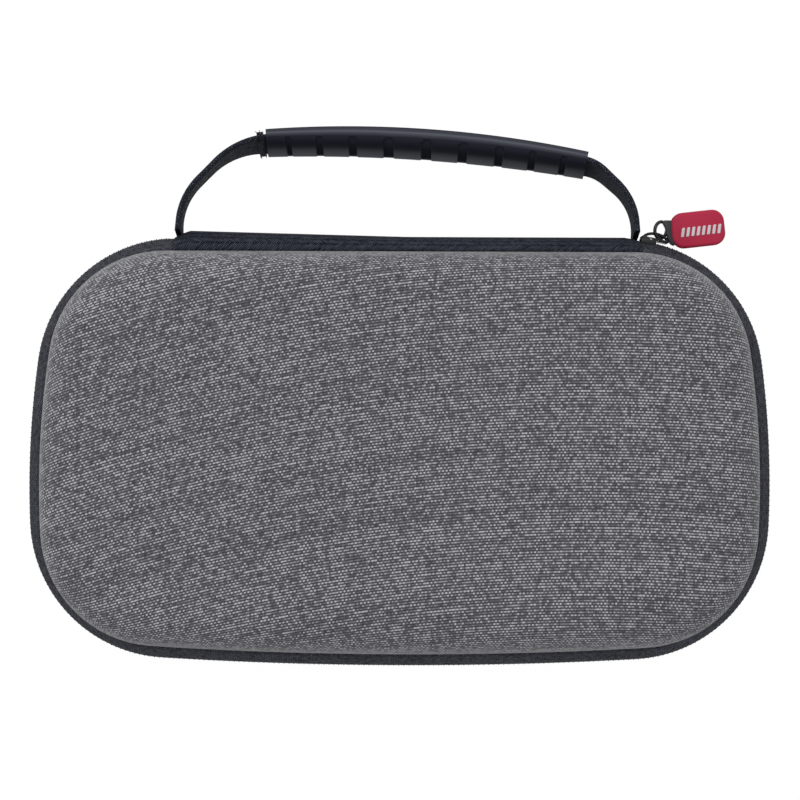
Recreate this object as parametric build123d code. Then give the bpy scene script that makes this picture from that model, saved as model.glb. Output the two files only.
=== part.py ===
"""Zipped carrying case for a hand-held game console.

Two moulded half shells meet at a zip that stands out round their rims. A cloth spine
joins them along the rear, and a webbing handle with a rubber grip is sewn to the spine.

Frame: the closed case lies on its base, lid up (+Z), spine and handle at the rear (+Y).
The origin is the middle of the flat underside. Lengths are millimetres, angles degrees.
"""

import os
from math import asin, atan, cos, degrees, radians, sin, sqrt, tan

from build123d import *

# Outline of the closed case over its zip, seen from above
case_length = 244.5
case_width = 141.0
side_bow_radius = 306.0
side_bow_centre = -10.8
front_bow_radius = 1350.0
rear_corner_radius = 46.0
front_corner_radius = 46.5

# Moulded half shells, base and lid alike
shell_depth = 17.0
shell_wall = 4.0
lining_thickness = 1.0
shell_draft = 8.0
shell_edge_radius = 12.0
shell_corner_trim = 3.1

# Zip band between the two rims
band_height = 22.0
zip_overhang = 4.9
zip_slit = 1.6
coil_width = 2.2
coil_height = 2.0
coil_end_gap = 3.4
tape_thickness = 1.0
tape_flat = 3.0
binding_thickness = 0.8
binding_height = 6.0
binding_lip = 1.6

# Cloth spine and the room that soft pieces keep from each other
spine_overrun = 2.65
spine_shift = 2.3
spine_bulge = 3.9
spine_thickness = 1.2
soft_gap = 0.3

# Webbing handle
strap_width = 19.0
strap_thickness = 2.0
handle_root_inset = 1.3
handle_root_gap = 0.8
handle_droop = 11.0
left_strap_run = 28.2
right_strap_run = 16.6
left_knee = 11.4
right_knee = 10.8
left_shoulder = 10.6
right_shoulder = 4.0
knee_share = 0.5
shoulder_share = 0.95

# Rubber grip sleeve on the handle
grip_width = 22.0
grip_thickness = 7.6
grip_end_thickness = 6.2
grip_rise = 3.3
grip_reach = 27.2
grip_tilt = -3.9
grip_outer_round = 1.8
grip_finger_round = 4.0
grip_bore_gap = 0.15
finger_slot_count = 9
finger_slot_pitch_ratio = 0.1182
finger_slot_closing = 0.0222
finger_slot_width = 4.1
finger_slot_narrowing = 0.575
finger_slot_reach = 3.6
finger_slot_shortening = 0.45
finger_slot_depth = 0.7

# Zip slider, parked beside the right end of the spine
slider_length = 9.0
slider_width = 8.4
slider_nose_width = 6.6
slider_plate = 0.8
slider_lip = 0.8
slider_lip_depth = 1.9
slider_top_gap = 0.45
slider_back_gap = 0.8
slider_web_width = 0.9
slider_web_length = 2.4
slider_round = 1.2
crown_bar_radius = 0.65
crown_length = 6.6
crown_height = 3.9
crown_bend_radius = 2.0
crown_setback = 0.3

# Pull: link ring, shoulder and soft tag
ring_hole_radius = 1.5
ring_wire_radius = 0.6
ring_gap = 0.25
ring_lift = 0.55
ring_tilt = 72.0
pull_heading = 6.5
shoulder_length = 2.0
shoulder_width = 7.8
shoulder_thickness = 4.2
shoulder_neck = 2.4
shoulder_overlap = 1.0
shoulder_flare_radius = 3.4
tag_length = 17.8
tag_width = 11.5
tag_thickness = 3.0
tag_corner_radius = 4.0
tag_edge_round = 1.0

# Net pocket in the lid
net_lift = 4.0
net_thickness = 0.8
net_pitch = 16.0
net_strand = 3.0
net_border = 5.0
net_seam = 0.25
net_front = -34.0
elastic_width = 8.0
elastic_thickness = 2.0

# Heights and lines that the pieces share
base_rim = shell_depth
mid_plane = base_rim + band_height / 2
lid_rim = base_rim + band_height
rear_line = case_width / 2
rim_line = rear_line - zip_overhang
inner_inset = zip_overhang + shell_wall
half_slit = zip_slit / 2
reach_past = 10.0

# Centre of the rear right corner, which the slider runs round
corner_y = rear_line - rear_corner_radius
corner_x = (
    case_length / 2
    - side_bow_radius
    + sqrt((side_bow_radius - rear_corner_radius) ** 2 - (corner_y - side_bow_centre) ** 2)
)

# The spine takes up the straight of the rear edge and a little more at each end
spine_length = 2 * (corner_x + spine_overrun)
spine_left = spine_shift - spine_length / 2
spine_right = spine_shift + spine_length / 2


def outline(inset, corner_trim=0.0):
    """Case outline moved in by inset, its corners tightened by corner_trim."""
    side = case_length / 2 - inset
    rear = rear_line - inset
    front = inset - case_width / 2
    side_radius = side_bow_radius - inset
    front_radius = front_bow_radius - inset

    def side_at(y):
        return side - side_radius + sqrt(side_radius**2 - (y - side_bow_centre) ** 2)

    def front_at(x):
        return front + front_radius - sqrt(front_radius**2 - x**2)

    rear_x = side_at(rear)
    front_x = side_at(front)
    for _ in range(6):
        front_x = side_at(front_at(front_x))
    front_y = front_at(front_x)
    edges = (
        Line((rear_x, rear), (-rear_x, rear))
        + ThreePointArc((-rear_x, rear), (-side, side_bow_centre), (-front_x, front_y))
        + ThreePointArc((-front_x, front_y), (0, front), (front_x, front_y))
        + ThreePointArc((front_x, front_y), (side, side_bow_centre), (rear_x, rear))
    )
    face = make_face(edges)
    tightening = inset + corner_trim
    face = fillet(face.vertices().sort_by(Axis.Y)[-2:], rear_corner_radius - tightening)
    return fillet(face.vertices().sort_by(Axis.Y)[:2], front_corner_radius - tightening)


def ring(outer, inner, bottom, height, draft=0.0):
    """Band of the given height between two outlines, standing at the height bottom."""
    lift = Pos(0, 0, bottom)
    outside = extrude(lift * outer, height, taper=draft)
    inside = extrude(lift * inner, height, taper=draft)
    return outside - inside


def block(left, right, low, high, bottom, top):
    """Box between two corners, used to trim pieces."""
    size = Box(right - left, high - low, top - bottom)
    return Pos((left + right) / 2, (low + high) / 2, (bottom + top) / 2) * size


def to_base(lid_piece):
    """The base's twin of a lid piece, turned over about the zip's middle plane."""
    return mirror(lid_piece, Plane.XY.offset(mid_plane))


def lid_form(inward):
    """Solid lid with drafted walls and a round edge, moved in from the shell's outside."""
    rim = Pos(0, 0, lid_rim) * outline(zip_overhang + inward, shell_corner_trim)
    body = extrude(rim, shell_depth - inward, taper=shell_draft)
    return fillet(body.edges().group_by(Axis.Z)[-1], shell_edge_radius - inward)


def lid_shell():
    """Moulded lid of cloth on foam."""
    return lid_form(0) - lid_form(shell_wall - lining_thickness)


def lid_lining():
    """Lining that covers the inside of the lid."""
    return lid_form(shell_wall - lining_thickness) - lid_form(shell_wall)


# Slider place: it starts just past the spine's end, on the corner's arc
slider_middle = spine_right + soft_gap + slider_length / 2
slider_angle = degrees(asin((slider_middle - corner_x) / rear_corner_radius))
slider_out = Vector(sin(radians(slider_angle)), cos(radians(slider_angle)), 0)
slider_along = Vector(cos(radians(slider_angle)), -sin(radians(slider_angle)), 0)
slider_seat = Vector(corner_x, corner_y, mid_plane) + slider_out * rear_corner_radius
slider_frame = Plane(origin=slider_seat, x_dir=slider_along, z_dir=slider_out)
slider_half = slider_width / 2
zip_end_room = soft_gap + slider_length + coil_end_gap


def spine_zone(gap):
    """Space behind the rims that the spine takes up, with a gap at its ends."""
    return block(
        spine_left - gap,
        spine_right + gap,
        rim_line - soft_gap,
        rear_line + reach_past,
        0,
        lid_rim + shell_depth,
    )


def lid_tape():
    """Zip tape: upright behind the coil, sloping in to the rim and turned in under it."""
    flare = tape_thickness + coil_width
    upright = ring(
        outline(coil_width), outline(flare), mid_plane + half_slit, tape_flat - half_slit
    )
    slope_height = band_height / 2 - tape_flat
    slope_angle = degrees(atan((zip_overhang - coil_width) / slope_height))
    slope = ring(
        outline(coil_width), outline(flare), mid_plane + tape_flat, slope_height, slope_angle
    )
    turn_in = ring(
        outline(zip_overhang + soft_gap),
        outline(inner_inset, shell_corner_trim),
        lid_rim - tape_thickness,
        tape_thickness,
    )
    return upright + slope + turn_in - spine_zone(soft_gap)


def slider_notch():
    """Room that lets the lid's tape lift off the parked slider."""
    room = soft_gap + slider_lip
    notch = Box(
        slider_length + 2 * room,
        slider_half + room,
        2 * (zip_overhang + tape_thickness),
        align=(Align.CENTER, Align.MAX, Align.CENTER),
    )
    return slider_frame * notch


def lid_coil():
    """Row of zip coil, open behind the spine and over the parked slider."""
    rail = ring(outline(0), outline(coil_width), mid_plane + half_slit, coil_height)
    ends = block(
        spine_left - zip_end_room,
        spine_right + zip_end_room,
        corner_y,
        rear_line + reach_past,
        base_rim,
        lid_rim,
    )
    return rail - ends


def lid_binding():
    """Binding tape over the sewn edge, inside the rim."""
    bound_inset = inner_inset + binding_thickness
    wall_side = outline(inner_inset, shell_corner_trim)
    free_side = outline(bound_inset, shell_corner_trim)
    lip_side = outline(inner_inset - binding_lip, shell_corner_trim)
    leg = ring(wall_side, free_side, lid_rim, binding_height, shell_draft)
    edge = ring(wall_side, free_side, lid_rim - tape_thickness, tape_thickness)
    lip = ring(lip_side, free_side, lid_rim - tape_thickness - binding_thickness, binding_thickness)
    return leg + edge + lip


def pocket_floor(border):
    """Inside of the bound lid wall at the net's height, moved in by border."""
    at_net = inner_inset + net_lift * tan(radians(shell_draft)) + binding_thickness
    return outline(at_net + net_seam + border, shell_corner_trim)


def pocket_slab(front, rear, thickness, border=0.0):
    """Flat slab across the lid between two lines, centred on the net."""
    bottom = lid_rim + net_lift - thickness / 2
    slab = extrude(Pos(0, 0, bottom) * pocket_floor(border), thickness)
    return slab & block(-case_length, case_length, front, rear, 0, lid_rim + shell_depth)


def mesh_pocket():
    """Open net sewn across the rear of the lid, with a plain border."""
    panel = pocket_slab(net_front, case_width, net_thickness)
    field = pocket_floor(net_border).face()
    gap_reach = (net_pitch - net_strand) / 2
    gap = Rot(0, 0, 45) * Rectangle(gap_reach * sqrt(2), gap_reach * sqrt(2))
    columns = int(case_length / net_pitch) + 1
    rows = int(case_width / net_pitch) + 1
    places = list(GridLocations(net_pitch, net_pitch, columns, rows))
    places += [Pos(net_pitch / 2, net_pitch / 2) * place for place in places]
    gaps = []
    for place in places:
        corners = (place * gap).vertices()
        behind_edge = min(corner.Y for corner in corners) > net_front + net_border
        if behind_edge and all(field.is_inside(corner.center()) for corner in corners):
            sunk = Pos(0, 0, lid_rim + net_lift - net_thickness) * place
            gaps.append(extrude(sunk * gap, 2 * net_thickness))
    return panel - gaps


def pocket_elastic():
    """Elastic band along the pocket's open edge."""
    return pocket_slab(net_front - elastic_width, net_front, elastic_thickness)


# Spine section and the handle's swing line on its crest
spine_foot = rim_line + soft_gap
spine_crest = spine_foot + spine_thickness + spine_bulge
handle_line = spine_crest + handle_root_gap


def hinge_strip():
    """Cloth spine, bowed outwards between the rims."""
    low = base_rim + soft_gap
    high = lid_rim - soft_gap
    inner_foot = (spine_foot, low)
    inner_head = (spine_foot, high)
    outer_foot = (spine_foot + spine_thickness, low)
    outer_head = (spine_foot + spine_thickness, high)
    section = make_face(
        ThreePointArc(outer_foot, (spine_crest, mid_plane), outer_head)
        + Line(outer_head, inner_head)
        + ThreePointArc(inner_head, (spine_foot + spine_bulge, mid_plane), inner_foot)
        + Line(inner_foot, outer_foot)
    )
    return extrude(Plane.YZ.offset(spine_left) * section, spine_length)


# Handle path in its own plane: x along the spine, y out from the spine's crest
root_left = spine_left + handle_root_inset
root_right = spine_right - handle_root_inset
grip_start = root_left + left_strap_run
grip_stop = root_right - right_strap_run
grip_length = (grip_stop - grip_start) / cos(radians(grip_tilt))
grip_middle = Vector((grip_start + grip_stop) / 2, grip_reach)
grip_run = Vector(cos(radians(grip_tilt)), sin(radians(grip_tilt)))
grip_left = grip_middle - grip_run * (grip_length / 2)
grip_right = grip_middle + grip_run * (grip_length / 2)
grip_bow_angle = degrees(2 * atan(2 * grip_rise / grip_length))


def bend_radius(before, corner, after, share):
    """Radius of the bend at a corner that takes up a share of its shorter run."""
    arriving = corner - before
    leaving = after - corner
    half_turn = radians(arriving.get_angle(leaving)) / 2
    return share * min(arriving.length, leaving.length) / tan(half_turn)


def strap_line(root, knee, shoulder, grip_end):
    """Strap line from a root over its knee and shoulder to the grip's end."""
    knee_radius = bend_radius(root, knee, shoulder, knee_share)
    shoulder_radius = bend_radius(knee, shoulder, grip_end, shoulder_share)
    return FilletPolyline(root, knee, shoulder, grip_end, radius=[knee_radius, shoulder_radius])


def handle_path():
    """Strap line from root to root through the grip."""
    left_run = grip_run.rotate(Axis.Z, grip_bow_angle)
    right_run = grip_run.rotate(Axis.Z, -grip_bow_angle)
    left = strap_line(
        Vector(root_left, 0),
        Vector(root_left, left_knee),
        grip_left - left_run * left_shoulder,
        grip_left,
    )
    right = strap_line(
        Vector(root_right, 0),
        Vector(root_right, right_knee),
        grip_right + right_run * right_shoulder,
        grip_right,
    )
    crown_point = grip_middle + grip_run.rotate(Axis.Z, 90) * grip_rise
    return left + ThreePointArc(grip_left, crown_point, grip_right) + right


def along_handle(thickness, width):
    """Flat strap of the given section swept along the handle's path."""
    start = Plane(origin=(root_left, 0, 0), x_dir=(1, 0, 0), z_dir=(0, 1, 0))
    return sweep(start * Rectangle(thickness, width), path=handle_path())


def hang(piece):
    """Place a handle piece on the spine's crest at its droop."""
    return Pos(0, handle_line, mid_plane) * Rot(-handle_droop, 0, 0) * piece


def grip_place(along, across):
    """Place in the handle's plane, counted from the middle of the grip's chord."""
    return Pos(grip_middle.X, grip_middle.Y) * Rot(0, 0, grip_tilt) * Pos(along, across)


def grip_finger_line(along):
    """Finger side of the grip, across its chord, at a place along it."""
    end = -grip_end_thickness / 2
    middle = grip_rise - grip_thickness / 2
    half = grip_length / 2
    return middle + (end - middle) * (along / half) ** 2


def grip_form(inward):
    """Sleeve without bore or slots, moved in from its flats and its finger side."""
    half = grip_length / 2
    end = grip_end_thickness / 2
    middle = grip_thickness / 2
    finger_end = inward - end
    finger_middle = grip_rise - middle + inward
    profile = make_face(
        ThreePointArc((-half, end), (0, grip_rise + middle), (half, end))
        + Line((half, end), (half, finger_end))
        + ThreePointArc((half, finger_end), (0, finger_middle), (-half, finger_end))
        + Line((-half, finger_end), (-half, end))
    )
    sleeve = extrude(profile, grip_width / 2 - inward, both=True)
    long_edges = sleeve.edges().filter_by(GeomType.CIRCLE).sort_by(Axis.Y)
    sleeve = fillet(long_edges[2:], grip_outer_round)
    long_edges = sleeve.edges().filter_by(GeomType.CIRCLE).filter_by(
        lambda edge: edge.length > half
    )
    return fillet(long_edges.sort_by(Axis.Y)[:2], grip_finger_round - inward)


def finger_slots():
    """Slots with round ends over the grip's finger side, smaller towards its ends."""
    side = (finger_slot_count - 1) // 2
    pitch = grip_length * finger_slot_pitch_ratio
    floor = grip_form(finger_slot_depth)
    slots = []
    for step in range(-side, side + 1):
        along = pitch * step * (1 - finger_slot_closing * abs(step))
        width = finger_slot_width - finger_slot_narrowing * abs(step)
        reach = finger_slot_reach - finger_slot_shortening * abs(step)
        mouth = Pos(along, grip_finger_line(along)) * SlotOverall(2 * reach, width, rotation=90)
        slots.append(extrude(mouth, grip_width, both=True) - floor)
    return slots


def handle_grip():
    """Rubber sleeve, thickest in the middle, with rounded finger slots."""
    sleeve = grip_form(0) - finger_slots()
    bore = along_handle(strap_thickness + 2 * grip_bore_gap, strap_width + 2 * grip_bore_gap)
    return grip_place(0, 0) * sleeve - bore


def zip_slider():
    """Slider: two plates joined by a web, lips round the coil and a crown for the pull."""
    nose = slider_nose_width / 2
    tail = slider_length / 2
    shield = make_face(
        Polyline(
            (-tail, slider_half),
            (-tail, -slider_half),
            (0, -slider_half),
            (tail, -nose),
            (tail, nose),
            (0, slider_half),
            close=True,
        )
    )
    shield = fillet(shield.vertices(), slider_round)
    hollow = offset(shield, -slider_lip)
    top = extrude(Pos(0, 0, slider_top_gap) * shield, slider_plate)
    lips = extrude(Pos(0, 0, slider_top_gap - slider_lip_depth) * (shield - hollow), slider_lip_depth)
    open_ends = Box(2 * slider_length, 2 * (half_slit + coil_height + slider_top_gap), case_width)
    back_face = -(coil_width + tape_thickness + slider_back_gap)
    back = extrude(Pos(0, 0, back_face - slider_plate) * hollow, slider_plate)
    web = make_face(
        Polyline(
            (-tail, 0),
            (-tail + slider_web_length / 2, -slider_web_width / 2),
            (-tail + slider_web_length, 0),
            (-tail + slider_web_length / 2, slider_web_width / 2),
            close=True,
        )
    )
    web = extrude(Pos(0, 0, back_face) * web, slider_top_gap - back_face)
    return slider_frame * (top + (lips - open_ends) + back + web + crown())


# Crown of the slider: its front leg carries the pull
crown_foot = slider_top_gap + slider_plate
crown_top = crown_foot + crown_height
crown_front = crown_length / 2 - crown_setback
crown_rear = crown_front - crown_length
ring_radius = ring_hole_radius + ring_wire_radius
ring_slack = ring_hole_radius - crown_bar_radius - ring_gap
ring_height = crown_foot + ring_lift + ring_wire_radius + ring_radius * cos(radians(ring_tilt))


def crown():
    """Round bar bent over the slider's outer plate."""
    foot = slider_top_gap + slider_plate / 2
    path = FilletPolyline(
        (crown_rear, 0, foot),
        (crown_rear, 0, crown_top),
        (crown_front, 0, crown_top),
        (crown_front, 0, foot),
        radius=crown_bend_radius,
    )
    return sweep(Pos(crown_rear, 0, foot) * Circle(crown_bar_radius), path=path)


# Pull on the crown's front leg: its ring lies square to the leg, its tag points a little outwards
pull_origin = slider_seat + slider_along * crown_front + slider_out * ring_height
ring_frame = Plane(origin=pull_origin, x_dir=slider_along, z_dir=(0, 0, 1))
pull_along = Vector(cos(radians(pull_heading)), sin(radians(pull_heading)), 0)
pull_frame = Plane(origin=pull_origin, x_dir=pull_along, z_dir=(0, 0, 1))
shoulder_start = ring_radius - ring_slack
shoulder_end = shoulder_start + shoulder_length
tag_start = shoulder_end - shoulder_overlap


def tag_solid():
    """Rounded soft tag in the pull's own frame."""
    middle = tag_start + tag_length / 2
    face = RectangleRounded(tag_length, tag_width, tag_corner_radius)
    plate = extrude(face, tag_thickness / 2, both=True)
    plate = fillet(plate.faces().group_by(Axis.Z)[0].edges(), tag_edge_round)
    plate = fillet(plate.faces().group_by(Axis.Z)[-1].edges(), tag_edge_round)
    return Pos(middle, 0, 0) * plate


def pull_tag():
    """Soft tag at its place on the case."""
    return pull_frame * tag_solid()


def pull_link():
    """Ring round the crown's leg, flaring into a shoulder that holds the tag's end."""
    loop = Torus(ring_radius, ring_wire_radius)
    loop = ring_frame * Pos(-ring_slack, 0, 0) * Rot(ring_tilt, 0, 0) * loop
    neck = shoulder_neck / 2
    wide = shoulder_width / 2
    profile = make_face(
        Line((shoulder_start, -neck), (shoulder_start, neck))
        + RadiusArc((shoulder_start, neck), (shoulder_end, wide), -shoulder_flare_radius)
        + Line((shoulder_end, wide), (shoulder_end, -wide))
        + RadiusArc((shoulder_end, -wide), (shoulder_start, -neck), -shoulder_flare_radius)
    )
    shoulder = extrude(profile, shoulder_thickness / 2, both=True)
    return loop + pull_frame * (shoulder - tag_solid())


lid_tape_whole = lid_tape()
lid_pieces = {
    "shell": lid_shell(),
    "lining": lid_lining(),
    "zip_coil": lid_coil(),
    "binding": lid_binding(),
}

pieces = {f"lid_{name}": solid for name, solid in lid_pieces.items()}
pieces.update({f"base_{name}": to_base(solid) for name, solid in lid_pieces.items()})
pieces["lid_zip_tape"] = lid_tape_whole - slider_notch()
pieces["base_zip_tape"] = to_base(lid_tape_whole)
pieces["mesh_pocket"] = mesh_pocket()
pieces["pocket_elastic"] = pocket_elastic()
pieces["hinge_strip"] = hinge_strip()
pieces["handle_strap"] = hang(along_handle(strap_thickness, strap_width))
pieces["handle_grip"] = hang(handle_grip())
pieces["zip_slider"] = zip_slider()
pieces["pull_link"] = pull_link()
pieces["pull_tag"] = pull_tag()

os.makedirs("parts", exist_ok=True)
for node, solid in pieces.items():
    export_step(solid, f"parts/{node}.step")
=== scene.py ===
"""Looks of a zipped carrying case for a hand-held game console.

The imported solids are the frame, and every one of them is shown by a finer piece that is modelled here.
Sizes are millimetres in the solids' own frame, and angles are degrees where a name says so.
"""

import logging
import math
import random
from dataclasses import dataclass
from enum import Enum
from itertools import accumulate

import bmesh
import bpy
from bmesh.types import BMEdge, BMesh, BMVert
from bpy.types import Node, NodeSocket
from mathutils import Matrix, Vector
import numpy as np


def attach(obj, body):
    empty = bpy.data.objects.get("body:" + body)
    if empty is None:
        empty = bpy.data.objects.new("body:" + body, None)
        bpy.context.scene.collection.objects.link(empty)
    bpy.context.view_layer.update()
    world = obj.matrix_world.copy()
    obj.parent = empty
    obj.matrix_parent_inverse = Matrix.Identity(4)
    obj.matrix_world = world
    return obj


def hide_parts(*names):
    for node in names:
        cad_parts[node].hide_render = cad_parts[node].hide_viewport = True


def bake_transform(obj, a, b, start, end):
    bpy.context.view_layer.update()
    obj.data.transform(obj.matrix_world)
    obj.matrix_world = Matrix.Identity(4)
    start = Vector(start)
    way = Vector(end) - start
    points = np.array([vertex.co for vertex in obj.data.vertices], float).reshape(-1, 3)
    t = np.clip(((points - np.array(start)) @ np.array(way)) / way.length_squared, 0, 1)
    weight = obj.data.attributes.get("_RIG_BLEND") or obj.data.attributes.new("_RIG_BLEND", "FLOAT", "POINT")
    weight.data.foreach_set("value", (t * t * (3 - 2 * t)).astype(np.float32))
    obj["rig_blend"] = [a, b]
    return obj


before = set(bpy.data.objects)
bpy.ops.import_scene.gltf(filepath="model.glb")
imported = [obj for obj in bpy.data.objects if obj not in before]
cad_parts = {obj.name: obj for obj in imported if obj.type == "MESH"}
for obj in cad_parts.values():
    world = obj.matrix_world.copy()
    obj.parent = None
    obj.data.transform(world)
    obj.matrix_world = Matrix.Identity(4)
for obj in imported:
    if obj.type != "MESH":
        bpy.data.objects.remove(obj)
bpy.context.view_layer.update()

MM = 0.001
MID_PLANE = 28.0
WEAVE_MAP = "weave"
Colour = tuple[float, float, float]
log = logging.getLogger("case")


class Half(Enum):
    """The two halves of the case, which mirror each other about the zip's middle plane."""

    LID = "lid"
    BASE = "base"

    def height(self, above: float) -> float:
        """Height of a point that lies the given distance from the zip's middle plane."""
        return MID_PLANE + above if self is Half.LID else MID_PLANE - above


class Nodes:
    """Adds and links nodes in one node tree with short calls."""

    def __init__(self, tree: bpy.types.NodeTree) -> None:
        """Keep the tree that the nodes go into."""
        self.tree = tree

    def feed(self, node: Node, values: dict) -> None:
        """Fill inputs of a node.

        Args:
            node: The node.
            values: Numbers or sockets for the inputs, by name or number.
        """
        for key, value in values.items():
            if isinstance(value, NodeSocket):
                self.tree.links.new(value, node.inputs[key])
            else:
                node.inputs[key].default_value = value

    def put(self, kind: str, values: dict | None = None, **settings: object) -> Node:
        """Add a node.

        Args:
            kind: Blender's name of the node type.
            values: Numbers or sockets for the inputs, by name or number.
            settings: Properties of the node itself.

        Returns:
            The new node.
        """
        node = self.tree.nodes.new(kind)
        for key, value in settings.items():
            setattr(node, key, value)
        self.feed(node, values or {})
        return node

    def math(self, operation: str, *terms: object, clamp: bool = False) -> NodeSocket:
        """Result of a Math node on sockets or numbers."""
        values = dict(enumerate(terms))
        return self.put("ShaderNodeMath", values, operation=operation, use_clamp=clamp).outputs[0]

    def times(self, first: object, second: object) -> NodeSocket:
        """Product of two sockets or numbers."""
        return self.math("MULTIPLY", first, second)

    def hump(self, share: object) -> NodeSocket:
        """Sine that crosses nought wherever share is a whole number."""
        return self.math("SINE", self.times(share, math.pi))

    def between(self, low: object, high: object, share: object) -> NodeSocket:
        """Value that goes from low to high as share goes from 0 to 1."""
        values = {"From Min": 0.0, "From Max": 1.0, "To Min": low, "To Max": high, "Value": share}
        return self.put("ShaderNodeMapRange", values, clamp=False).outputs[0]

    def pair(self, x: object, y: object) -> NodeSocket:
        """Vector of two values."""
        return self.put("ShaderNodeCombineXYZ", {0: x, 1: y}).outputs[0]

    def parts(self, vector: NodeSocket) -> tuple[NodeSocket, NodeSocket]:
        """First two values of a vector."""
        return tuple(self.put("ShaderNodeSeparateXYZ", {0: vector}).outputs[:2])

    def noise(self, vector: object, scale: object, detail: float = 2.0) -> NodeSocket:
        """Soft noise from 0 to 1 at places given by a vector."""
        values = {"Vector": vector, "Scale": scale, "Detail": detail, "Roughness": 0.55}
        return self.put("ShaderNodeTexNoise", values).outputs[0]

    def chance(self, column: object, row: object) -> NodeSocket:
        """Random number from 0 to 1 for each cell of a grid."""
        values = {"Vector": self.pair(column, row)}
        return self.put("ShaderNodeTexWhiteNoise", values, noise_dimensions="2D").outputs["Value"]

    def cover(self, mask: NodeSocket, under: NodeSocket, over: Colour) -> NodeSocket:
        """Colour that goes from a socket's to a plain one as mask goes from 0 to 1."""
        values = {"Factor": mask, 6: under, 7: (*over, 1.0)}
        return self.put("ShaderNodeMix", values, data_type="RGBA").outputs[2]

    def ramp(self, share: object, stops: tuple[tuple[float, Colour], ...]) -> NodeSocket:
        """Colour read from a ramp.

        Args:
            share: Place along the ramp.
            stops: Places and linear colours of three or more stops.

        Returns:
            The colour socket.
        """
        node = self.put("ShaderNodeValToRGB", {0: share})
        elements = node.color_ramp.elements
        while len(elements) < len(stops):
            elements.new(0.5)
        for element, (place, colour) in zip(elements, stops):
            element.position = place
            element.color = (*colour, 1.0)
        return node.outputs[0]

    def seen(self) -> NodeSocket:
        """Mask of what the camera sees, directly, in a reflection or through glass.

        Returns:
            One for such rays and nought for the light that falls on the case.
        """
        path = self.put("ShaderNodeLightPath").outputs
        straight = self.math("ADD", path["Is Camera Ray"], path["Is Glossy Ray"])
        return self.math("ADD", straight, path["Is Transmission Ray"], clamp=True)


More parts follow.
